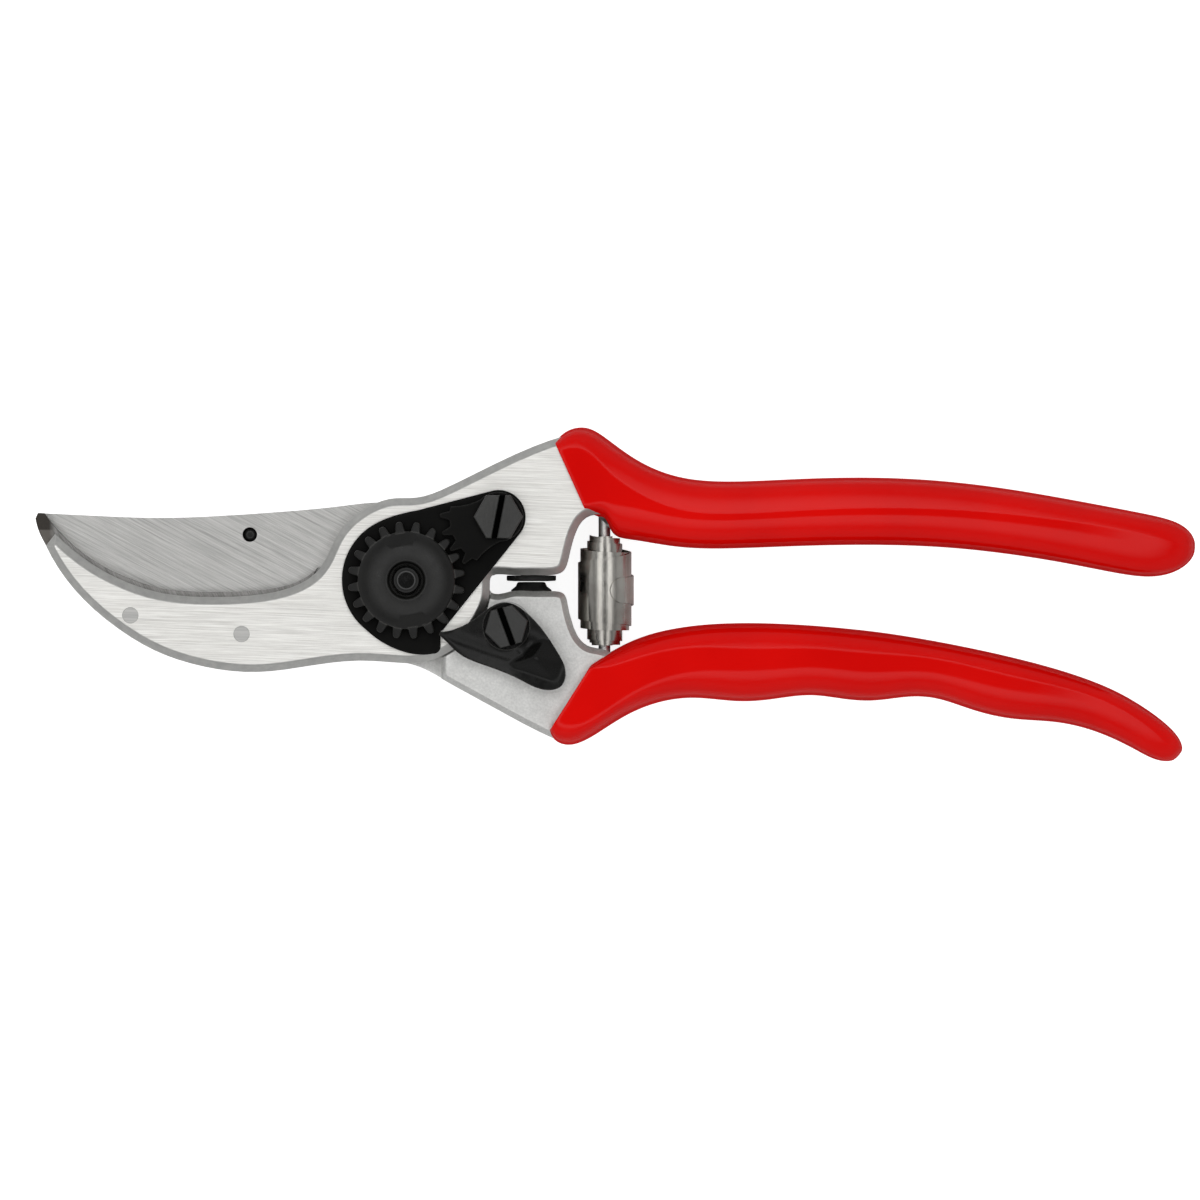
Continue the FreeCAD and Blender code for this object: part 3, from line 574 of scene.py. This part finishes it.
nut = spin_profile(NUT_SECTION)
for side in (1, -1):
    outward = Matrix.Rotation(FLATS_TURN, 3, "Z") @ Vector((0.0, side, 0.0))
    slope = (outward * FLAT_SLOPE[0] + Vector((0.0, 0.0, FLAT_SLOPE[1]))).normalized()
    through = outward * FLAT_OUT + Vector((0.0, 0.0, FLAT_HEIGHT))
    cut = bmesh.ops.bisect_plane(nut, geom=nut.verts[:] + nut.edges[:] + nut.faces[:], dist=1e-7,
                                 plane_co=through, plane_no=slope, clear_outer=True)
    rim = [e for e in cut["geom_cut"] if isinstance(e, bmesh.types.BMEdge)]
    bmesh.ops.edgeloop_fill(nut, edges=rim)
round_edges(nut, NUT_ROUNDING, segments=2, sharper_than=24.0)

tooth = bmesh.new()
corners = [tooth.verts.new((x * MM, y * MM, TOOTH_FOOT * MM)) for x, y in TOOTH_OUTLINE]
foot = tooth.faces.new(corners)
raised = bmesh.ops.extrude_face_region(tooth, geom=[foot])["geom"]
top = [v for v in raised if isinstance(v, bmesh.types.BMVert)]
bmesh.ops.translate(tooth, verts=top, vec=Vector((0.0, 0.0, (TOOTH_TOP - TOOTH_FOOT) * MM)))
for vert in top:
    vert.co.z -= (vert.co.x - TOOTH_OUTLINE[0][0] * MM) * TOOTH_SLOPE
bmesh.ops.recalc_face_normals(tooth, faces=tooth.faces)
round_edges(tooth, TOOTH_ROUNDING, segments=4, where=lambda edge: lowest(edge) > (TOOTH_FOOT + 1.4) * MM)
pattern = bpy.data.meshes.new("nut_tooth")
tooth.to_mesh(pattern)
tooth.free()
for k in range(TOOTH_COUNT):
    standing = set(nut.verts)
    nut.from_mesh(pattern)
    added = [v for v in nut.verts if v not in standing]
    turn = Matrix.Rotation(SEGMENT_ANGLE + math.tau / TOOTH_COUNT * (k + 0.5), 3, "Z")
    bmesh.ops.rotate(nut, verts=added, cent=(0, 0, 0), matrix=turn)
nut_black = black_steel("blackened nut", (0.0040, 0.0040, 0.0037), 0.26, 0.32)
settle(nut, "toothed_nut_black", nut_black, "hook_side", "black_steel", "toothed_nut")


# ---- Pivot: a blackened bolt with a flat head at the back, its turned friction washer, and the bronze bush
# ---- that it turns in. The washer under the catch is turned from the same steel.

def turned_steel(name, centre):
    material, tree, shader = start_material(name, Metallic=1.0)
    place = node(tree, "VectorMath", {0: object_place(tree), 1: centre}, operation="SUBTRACT").outputs[0]
    rings = node(tree, "TexWave", {"Vector": place, "Scale": 900.0, "Distortion": 0.6, "Detail": 2.0},
                 wave_type="RINGS", rings_direction="Z").outputs["Fac"]
    skin = place_group(tree, FORGED_SKIN)
    colour = blend_colours(tree, rings, (0.34, 0.34, 0.34), (0.50, 0.50, 0.49))
    rough = ramp(tree, skin.outputs["Mottle"], 0.0, 1.0, 0.26, 0.40)
    finish_surface(tree, shader, colour, rough, rings, 0.25, 0.00003)
    return material


for cad_node, body in (("bolt_washer", "hook_side"), ("catch_washer", "blade_side")):
    turned = merged_copy(cad_node)
    low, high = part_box(cad_node)
    steel = turned_steel("turned steel " + cad_node.replace("_", " "), (low + high) / 2)
    settle(turned, cad_node + "_turned", steel, body, "bolt_steel", cad_node)

BOLT_ROUNDING = 0.0002

bolt = merged_copy("pivot_bolt")
round_edges(bolt, BOLT_ROUNDING, segments=3)
bolt_black = black_steel("blackened bolt", (0.0012, 0.0012, 0.0011), 0.10, 0.55)
settle(bolt, "pivot_bolt_black", bolt_black, "hook_side", "black_steel", "pivot_bolt")


def oiled_bronze():
    material, tree, shader = start_material("oiled bronze", Metallic=1.0)
    skin = place_group(tree, FORGED_SKIN)
    colour = blend_colours(tree, skin.outputs["Mottle"], (0.34, 0.20, 0.08), (0.55, 0.36, 0.17))
    rough = ramp(tree, skin.outputs["Handling"], 0.0, 1.0, 0.30, 0.46)
    finish_surface(tree, shader, colour, rough, skin.outputs["Grain"], 0.3, 0.00004)
    return material


bush = merged_copy("pivot_bush")
settle(bush, "pivot_bush_bronze", oiled_bronze(), "blade_side", "bush_bronze", "pivot_bush")


# ---- Rubbers: the pad pressed into the upper neck and the buffer pressed into the lower one. Both are
# ---- moulded in black rubber, each with a stem that fills its hole, and they meet when the handles shut.

def moulded_rubber():
    material, tree, shader = start_material("moulded rubber", Metallic=0.0, Specular_IOR_Level=0.3)
    skin = place_group(tree, FORGED_SKIN)
    colour = blend_colours(tree, skin.outputs["Mottle"], (0.008, 0.008, 0.008), (0.022, 0.021, 0.020))
    rough = ramp(tree, skin.outputs["Handling"], 0.0, 1.0, 0.50, 0.66)
    finish_surface(tree, shader, colour, rough, skin.outputs["Grain"], 0.4, 0.00005)
    return material


# Sections in millimetres: (radius, place along y), from the end of the stem to the middle of the face.
PAD = [(0.01, 4.8), (2.0, 4.8), (2.0, 0.9), (4.5, 0.9), (4.6, 0.75), (4.6, 0.1), (4.45, -0.08),
       (3.2, -0.16), (0.01, -0.17)]
BUMPER = [(0.01, -6.0), (2.0, -6.0), (2.0, -2.0), (3.75, -2.0), (3.78, -1.8), (3.35, -1.45), (2.9, -1.1),
          (2.72, -0.7), (2.6, -0.42), (2.3, -0.3), (0.01, -0.28)]
POLE_GAP = 2.5e-5  # joins the ring of points left round each pole
RUBBER = moulded_rubber()

for cad_node, body, section in (("stop_pad", "hook_side", PAD), ("rubber_bumper", "blade_side", BUMPER)):
    rubber = spin_profile(section, steps=48)
    bmesh.ops.remove_doubles(rubber, verts=rubber.verts, dist=POLE_GAP)
    low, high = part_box(cad_node)
    lie_down = Matrix.Rotation(-math.pi / 2, 3, "X")
    bmesh.ops.rotate(rubber, verts=rubber.verts, cent=(0, 0, 0), matrix=lie_down)
    place = Vector(((low.x + high.x) / 2, 0, (low.z + high.z) / 2))
    bmesh.ops.translate(rubber, verts=rubber.verts, vec=place)
    bmesh.ops.recalc_face_normals(rubber, faces=rubber.faces)
    settle(rubber, cad_node + "_moulded", RUBBER, body, "black_rubber", cad_node)


# ---- Grips: the tang of each forging is dipped in red vinyl, which sets as a thick glossy coat. The coat
# ---- follows the forging's face, a flat that narrows to a long soft crease, and ends in a rounded lip.

def dipped_vinyl():
    material, tree, shader = start_material("dipped vinyl", Metallic=0.0, Specular_IOR_Level=0.16)
    place = object_place(tree)
    orange_peel = noise(tree, place, 420.0, 2.0)
    thickness = ramp(tree, noise(tree, place, 45.0, 3.0), 0.3, 0.7)
    skin = place_group(tree, FORGED_SKIN)
    colour = blend_colours(tree, thickness, (0.53, 0.0016, 0.0010), (0.61, 0.0026, 0.0015))
    rough = ramp(tree, skin.outputs["Handling"], 0.0, 1.0, 0.09, 0.13)
    turned_away = ramp(tree, node(tree, "LayerWeight").outputs["Facing"], 0.45, 0.8)
    rough = blend_values(tree, turned_away, rough, 0.95)
    finish_surface(tree, shader, colour, rough, orange_peel, 0.08, 0.0001)
    return material


# The side of a grip's section from its edge up towards the front: how far across each point lies (1 is the
# upper edge, -1 the lower one) and its height as a share of half the thickness. The square side is the one
# near the lip, where the coat wraps the whole forging.
ROUND_SIDE = [(1.0, 0.0), (0.985, 0.34), (0.93, 0.62), (0.80, 0.83)]
SQUARE_SIDE = [(1.0, 0.0), (1.0, 0.56), (0.99, 0.82), (0.92, 0.95)]
UPPER_SHOULDER, LOWER_SHOULDER = (0.945, 0.985), (0.955, 0.985)  # heights when round, and when square
LOWER_SIDE = 0.97  # the lower side is a little lower than the upper one


def between(first, second, share):
    return first + (second - first) * share


def grip_section(upper_crease, lower_crease, square):
    """The front half of the section, from the upper edge to just before the lower one."""
    side = [(between(u0, u1, square), between(w0, w1, square))
            for (u0, w0), (u1, w1) in zip(ROUND_SIDE, SQUARE_SIDE)]
    shoulder = side[-1][0]
    front = [((upper_crease + shoulder) / 2, between(*UPPER_SHOULDER, square)), (upper_crease, 1.0),
             (lower_crease, 1.0), ((lower_crease - shoulder) / 2, between(*LOWER_SHOULDER, square))]
    return side + front + [(-u, w * LOWER_SIDE) for u, w in reversed(side[1:])]


LIP_SHRINK, ROLL_SHRINK = 0.90, 0.985  # how far the lip is drawn in, and the roll beside it
ROUNDER_EACH = 0.22  # how much rounder each station past the lip is


def dipped_grip(stations, middle):
    """A coat built from the lip to the tip. Each station is the point on the upper outline, the point on
    the lower outline, half the thickness, and where the two creases lie across it, in millimetres."""
    shape = bmesh.new()
    ring = bmesh.ops.create_circle(shape, segments=22, radius=0.001)["verts"]

    def lay(verts, station, shrink=1.0, square=0.0):
        top, bottom, half, upper, lower = station
        top, bottom = Vector((*top, 0.0)), Vector((*bottom, 0.0))
        centre, across = (top + bottom) / 2, (top - bottom) / 2
        section = grip_section(upper, lower, square)
        whole = section + [(-1.0, 0.0)] + [(u, -w) for u, w in reversed(section[1:])]
        for vert, (u, w) in zip(verts, whole):
            point = centre + across * (u * shrink)
            vert.co = Vector((point.x, point.y, middle + w * half * shrink)) * MM

    lay(ring, stations[0], shrink=LIP_SHRINK, square=1.0)
    loops = [ring]
    edges = shape.edges[:]
    for station in stations[:1] + stations:
        square = max(1.0 - max(len(loops) - 2, 0) * ROUNDER_EACH, 0.0)
        grown = bmesh.ops.extrude_edge_only(shape, edges=edges)
        verts = [v for v in grown["geom"] if isinstance(v, bmesh.types.BMVert)]
        edges = [e for e in grown["geom"] if isinstance(e, bmesh.types.BMEdge)]
        lay(verts, station, shrink=ROLL_SHRINK if len(loops) == 1 else 1.0, square=square)
        loops.append(verts)
    bmesh.ops.contextual_create(shape, geom=edges)
    bmesh.ops.contextual_create(shape, geom=[e for e in shape.edges if all(v in ring for v in e.verts)])
    bmesh.ops.recalc_face_normals(shape, faces=shape.faces)
    return shape, loops


HOOK_GRIP = [
    ((27.35, 25.6), (33.15, 12.75), 8.1, 0.72, -0.80),
    ((27.75, 26.2), (33.6, 12.55), 8.2, 0.70, -0.78),
    ((29.4, 27.8), (35.1, 12.0), 8.2, 0.62, -0.72),
    ((31.7, 28.62), (36.9, 11.2), 8.2, 0.52, -0.60),
    ((34.3, 28.35), (37.8, 9.2), 8.2, 0.40, -0.44),
    ((37.2, 26.3), (38.9, 7.8), 8.2, 0.28, -0.32),
    ((41.2, 23.2), (42.6, 7.45), 8.2, 0.18, -0.22),
    ((46.2, 20.4), (47.4, 6.55), 8.2, 0.09, -0.18),
    ((52.5, 18.6), (52.9, 5.85), 8.2, 0.03, -0.18),
    ((61.0, 18.25), (61.0, 5.85), 8.2, 0.02, -0.18),
    ((75.0, 19.1), (75.0, 6.5), 8.2, 0.05, -0.14),
    ((89.0, 19.25), (88.6, 6.65), 8.2, 0.09, -0.12),
    ((101.5, 18.45), (100.3, 6.2), 8.1, 0.14, -0.08),
    ((113.0, 16.9), (111.0, 5.05), 8.0, 0.22, -0.04),
    ((124.0, 14.95), (121.6, 3.4), 7.8, 0.32, 0.02),
    ((134.0, 13.05), (131.4, 1.35), 7.3, 0.36, 0.04),
    ((139.6, 11.95), (137.6, 0.4), 6.6, 0.3, 0.0),
    ((143.0, 10.95), (141.7, 1.05), 5.7, 0.2, 0.0),
    ((145.1, 9.6), (144.3, 2.35), 4.6, 0.1, 0.0),
    ((146.2, 8.05), (145.85, 3.9), 3.1, 0.1, 0.0),
    ((146.49, 6.7), (146.42, 5.3), 1.3, 0.1, 0.0),
]
BLADE_GRIP = [
    ((34.1, -15.75), (26.45, -27.8), 8.1, 0.86, -0.60),
    ((34.9, -15.1), (26.6, -28.7), 8.2, 0.82, -0.60),
    ((36.6, -13.95), (27.6, -30.2), 8.2, 0.74, -0.58),
    ((38.8, -12.7), (30.4, -31.0), 8.2, 0.64, -0.54),
    ((41.2, -11.4), (34.3, -29.3), 8.2, 0.56, -0.50),
    ((45.2, -9.85), (40.2, -25.1), 8.2, 0.48, -0.44),
    ((50.0, -8.8), (46.6, -22.45), 8.2, 0.44, -0.34),
    ((55.5, -8.1), (53.4, -21.55), 8.2, 0.40, -0.26),
    ((62.0, -7.85), (61.0, -22.75), 8.2, 0.36, -0.20),
    ((68.0, -7.95), (67.2, -22.35), 8.2, 0.36, -0.20),
    ((75.5, -8.35), (74.6, -21.0), 8.2, 0.36, -0.20),
    ((82.0, -8.95), (80.6, -22.1), 8.2, 0.38, -0.18),
    ((88.0, -9.6), (86.6, -22.7), 8.2, 0.40, -0.16),
    ((95.0, -10.7), (93.6, -21.35), 8.1, 0.40, -0.14),
    ((101.5, -11.9), (99.2, -21.9), 8.0, 0.40, -0.12),
    ((109.0, -13.45), (105.4, -24.4), 7.9, 0.40, -0.10),
    ((117.5, -15.5), (112.6, -26.05), 7.7, 0.40, -0.06),
    ((125.5, -17.9), (120.6, -26.1), 7.3, 0.40, 0.0),
    ((132.6, -20.8), (127.8, -27.85), 6.6, 0.36, 0.0),
    ((138.4, -24.5), (133.8, -30.6), 5.6, 0.3, 0.0),
    ((141.4, -26.9), (136.9, -32.4), 4.8, 0.2, 0.0),
    ((143.3, -28.9), (139.3, -33.5), 4.0, 0.2, 0.0),
    ((144.1, -30.6), (141.2, -33.74), 2.9, 0.1, 0.0),
    ((144.15, -31.8), (142.7, -33.5), 1.3, 0.1, 0.0),
]
CREASES = ((5, 0.88), (6, 0.35))  # which point of the section each crease runs through, and how sharp it is
VINYL = dipped_vinyl()
grip_low, grip_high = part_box("hook_grip")
GRIP_MIDDLE = (grip_low.z + grip_high.z) / 2 / MM

for stations, body, cad_node in (
        (HOOK_GRIP, "hook_side", "hook_grip"),
        (BLADE_GRIP, "blade_side", "blade_grip")):
    coat, loops = dipped_grip(stations, GRIP_MIDDLE)
    crease = coat.edges.layers.float.new("crease_edge")
    for loop_a, loop_b in zip(loops[1:], loops[2:]):
        for line, strength in CREASES:
            coat.edges.get((loop_a[line], loop_b[line]))[crease] = strength
    settle(coat, cad_node + "_coat", VINYL, body, "red_coating", cad_node, sharp=180.0, subdivided=3)


# ---- Return spring: a volute wound from tapered nickel-plated strip, slipped over the two pegs. Its barrel
# ---- and the rolls at its two ends are built as three strips where they lie shut; they don't follow the
# ---- handles, though on the real spring they slide out of each other like a telescope as the handles open.

def nickel_plate():
    material, tree, shader = start_material("nickel plate", Metallic=1.0)
    skin = place_group(tree, FORGED_SKIN)
    axial_lines = place_group(tree, GRINDING, Angle=math.radians(90.0), Lines_per_metre=1400.0, Run=40.0)
    colour = blend_colours(tree, skin.outputs["Handling"], (0.34, 0.325, 0.30), (0.50, 0.485, 0.45))
    # Darker streaks that run along the spring's axis, across the strip.
    axial_streaks = maths(tree, "MULTIPLY", axial_lines.outputs["Scratches"], 0.4)
    colour = blend_colours(tree, axial_streaks, colour, (0.25, 0.235, 0.215))
    rough = ramp(tree, skin.outputs["Mottle"], 0.0, 1.0, 0.14, 0.26)
    finish_surface(tree, shader, colour, rough, axial_lines.outputs["Lines"], 0.2, 0.00003)
    return material


SPRING_LOW, SPRING_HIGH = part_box("return_spring")
SPRING_MIDDLE = (SPRING_LOW + SPRING_HIGH) / 2
COLUMNS_PER_TURN, ROWS = 120, 10
TONGUE_START = 0.02  # how wide the tongue's very tip is, as a share of the strip
NICKEL = nickel_plate()


def strip_edges(share, edges_at):
    """The bottom and the top of the strip at a share of its length, in millimetres."""
    nearest = [k for k in range(len(edges_at) - 1) if edges_at[k][0] <= share + TOUCHING][-1]
    (start, low, high), (end, next_low, next_high) = edges_at[nearest], edges_at[nearest + 1]
    part = (share - start) / (end - start)
    return between(low, next_low, part), between(high, next_high, part)


def wound_strip(first_angle, turns, radii, edges_at, tongue, thickness):
    """A tapered strip wound inwards. A tongue is the radius that its outer end is rounded to."""
    columns = int(turns * COLUMNS_PER_TURN)
    shape = bmesh.new()
    bmesh.ops.create_grid(shape, x_segments=columns, y_segments=ROWS, size=1.0)
    for vert in shape.verts:
        share, across = (vert.co.x + 1) / 2, (vert.co.y + 1) / 2
        low, high = strip_edges(share, edges_at)
        run = share * turns * math.tau * radii[0]
        if run < tongue:
            width = math.sqrt(max(1 - (1 - run / tongue) ** 2, TONGUE_START ** 2))
            middle, half = (low + high) / 2, (high - low) / 2 * width
            low, high = middle - half, middle + half
        radius = between(*radii, share)
        angle = math.radians(first_angle) - share * turns * math.tau
        vert.co = Vector((SPRING_MIDDLE.x / MM + radius * math.cos(angle), between(low, high, across),
                          SPRING_MIDDLE.z / MM + radius * math.sin(angle))) * MM
    bmesh.ops.recalc_face_normals(shape, faces=shape.faces)
    shape.faces.ensure_lookup_table()
    shape.normal_update()
    probe = shape.faces[columns * ROWS // 2]
    away = probe.calc_center_median() - SPRING_MIDDLE
    if Vector((away.x, 0, away.z)).dot(probe.normal) < 0:
        bmesh.ops.reverse_faces(shape, faces=shape.faces)
    bmesh.ops.solidify(shape, geom=shape.faces[:], thickness=thickness * MM)
    bmesh.ops.recalc_face_normals(shape, faces=shape.faces)
    return shape


def wind_strip(name, first_angle, turns, radii, edges_at, thickness, tongue=0.0):
    """Makes a strip into an object. edges_at lists (share of the length, bottom, top) in millimetres."""
    shape = wound_strip(first_angle, turns, radii, edges_at, tongue, thickness)
    strip = make_object(shape, name, NICKEL, sharp=40.0)
    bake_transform(strip)
    return strip


barrel = wind_strip(
    "return_spring_barrel", 80.0, 2.3, (5.4, 4.4),
    [(0.0, -4.1, 0.4), (0.097, -4.5, 0.8), (0.205, -5.8, 2.2), (0.314, -7.1, 3.3), (0.423, -8.0, 4.1),
     (0.531, -8.4, 5.2), (0.64, -8.9, 6.3), (0.749, -8.8, 5.9), (0.857, -9.3, 5.2), (1.0, -9.3, 5.2)],
    0.36, tongue=2.5)
wind_strip(
    "return_spring_upper_roll", 200.0, 2.4, (3.4, 2.4),
    [(0.0, -1.0, 7.4), (0.127, -1.0, 6.9), (0.231, -1.0, 6.7), (0.336, -1.0, 7.4), (0.44, -1.0, 8.4),
     (0.544, -1.0, 7.9), (0.648, -1.0, 7.8), (1.0, -1.0, 8.2)],
    0.33)
wind_strip(
    "return_spring_lower_roll", 200.0, 2.4, (3.4, 2.4),
    [(0.0, -10.9, -2.5), (0.127, -11.2, -2.5), (0.231, -11.3, -2.5), (0.336, -11.0, -2.5),
     (0.44, -11.5, -2.5), (0.544, -11.9, -2.5), (0.648, -12.0, -2.5), (1.0, -12.1, -2.5)],
    0.33)
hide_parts("return_spring")


# ---- Studio: a pale floor, a softbox above each long side, a bright ring overhead that shows in the metal
# ---- and the coats, and a camera that looks straight down through a long lens.

FLOOR_HALF, FLOOR_GAP = 4.0, 0.00005


def pale_floor():
    material, tree, shader = start_material("pale studio floor", Emission_Color=(1.0, 1.0, 1.0, 1.0))
    mottle = noise(tree, object_place(tree), 9.0, 3.0)
    paths = node(tree, "LightPath").outputs
    colour = blend_colours(tree, mottle, (0.48, 0.48, 0.48), (0.52, 0.52, 0.52))
    colour = blend_colours(tree, paths["Is Glossy Ray"], colour, (0.65, 0.65, 0.65))
    rough = ramp(tree, mottle, 0.3, 0.7, 0.85, 0.95)
    tree.links.new(colour, shader.inputs["Base Color"])
    tree.links.new(rough, shader.inputs["Roughness"])
    glow = maths(tree, "MULTIPLY", paths["Is Camera Ray"], 0.88)
    tree.links.new(glow, shader.inputs["Emission Strength"])
    return material


ground = bmesh.new()
bmesh.ops.create_grid(ground, x_segments=8, y_segments=8, size=FLOOR_HALF)
bmesh.ops.translate(ground, verts=ground.verts, vec=Vector((0.0, 0.0, cad_low.z - FLOOR_GAP)))
floor = make_object(ground, "studio_floor", pale_floor(), sharp=30.0)
floor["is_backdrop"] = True

VIEW_WIDTH, VIEW_HEIGHT = 0.223, 0.0100  # how much the camera sees across, and the height that it's true at
centre = (cad_low + cad_high) / 2
view_centre = Vector((centre.x - 0.0030, centre.y - 0.0011, VIEW_HEIGHT))

lens = bpy.data.cameras.new("studio camera")
lens.lens = 250.0
lens.sensor_width = 36.0
camera = bpy.data.objects.new("studio camera", lens)
bpy.context.scene.collection.objects.link(camera)
distance = VIEW_WIDTH / 2 / (lens.sensor_width / 2 / lens.lens)
camera.location = view_centre + Vector((0.0, 0.0, distance))
lens.clip_end = 20.0
bpy.context.scene.camera = camera


def softbox(name, place, width, depth, power):
    """A lamp behind a diffuser. Polished surfaces show the ring overhead, so the lamp stays out of them."""
    light = bpy.data.lights.new(name, "AREA")
    light.shape = "RECTANGLE"
    light.size, light.size_y = width, depth
    light.energy = power
    lamp = bpy.data.objects.new(name, light)
    bpy.context.scene.collection.objects.link(lamp)
    lamp.location = place
    lamp.rotation_mode = "QUATERNION"
    lamp.rotation_quaternion = (view_centre - Vector(place)).to_track_quat("-Z", "Y")
    lamp.visible_glossy = False


softbox("key softbox", (-0.15, 0.55, 0.80), 1.2, 0.5, 4.0)
softbox("fill softbox", (0.15, -0.60, 0.70), 1.2, 0.5, 2.4)

# Angles from straight up, in degrees, between which the ring brightens and fades and the walls brighten.
RING_STARTS, RING_FADES, WALLS_START = (8.0, 14.0), (40.0, 25.0), (30.0, 60.0)
RING_LIGHT, WALL_LIGHT, ROOM_LIGHT, BACKDROP = 1.45, 0.42, 0.10, 0.95

world = bpy.data.worlds.new("studio")
bpy.context.scene.world = world
world.use_nodes = True
sky = world.node_tree
direction = node(sky, "TexCoord").outputs["Generated"]
parts = node(sky, "SeparateXYZ", {0: direction}).outputs
tilt = maths(sky, "DEGREES", maths(sky, "ARCCOSINE", parts["Z"]))
ring = maths(sky, "MULTIPLY", ramp(sky, tilt, *RING_STARTS), ramp(sky, tilt, *RING_FADES))
ring = maths(sky, "MULTIPLY", ring, ramp(sky, parts["Y"], -0.6, 0.6, 0.85, 1.2))
walls = ramp(sky, tilt, *WALLS_START, 0.0, WALL_LIGHT)
tone = maths(sky, "ADD", maths(sky, "MULTIPLY", ring, RING_LIGHT), maths(sky, "ADD", walls, ROOM_LIGHT))
tone = blend_values(sky, node(sky, "LightPath").outputs["Is Camera Ray"], tone, BACKDROP)
tones = node(sky, "CombineColor", {0: tone, 1: tone, 2: tone}).outputs[0]
sky.links.new(tones, sky.nodes["Background"].inputs["Color"])
bpy.context.scene.view_settings.view_transform = "Standard"

low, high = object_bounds()
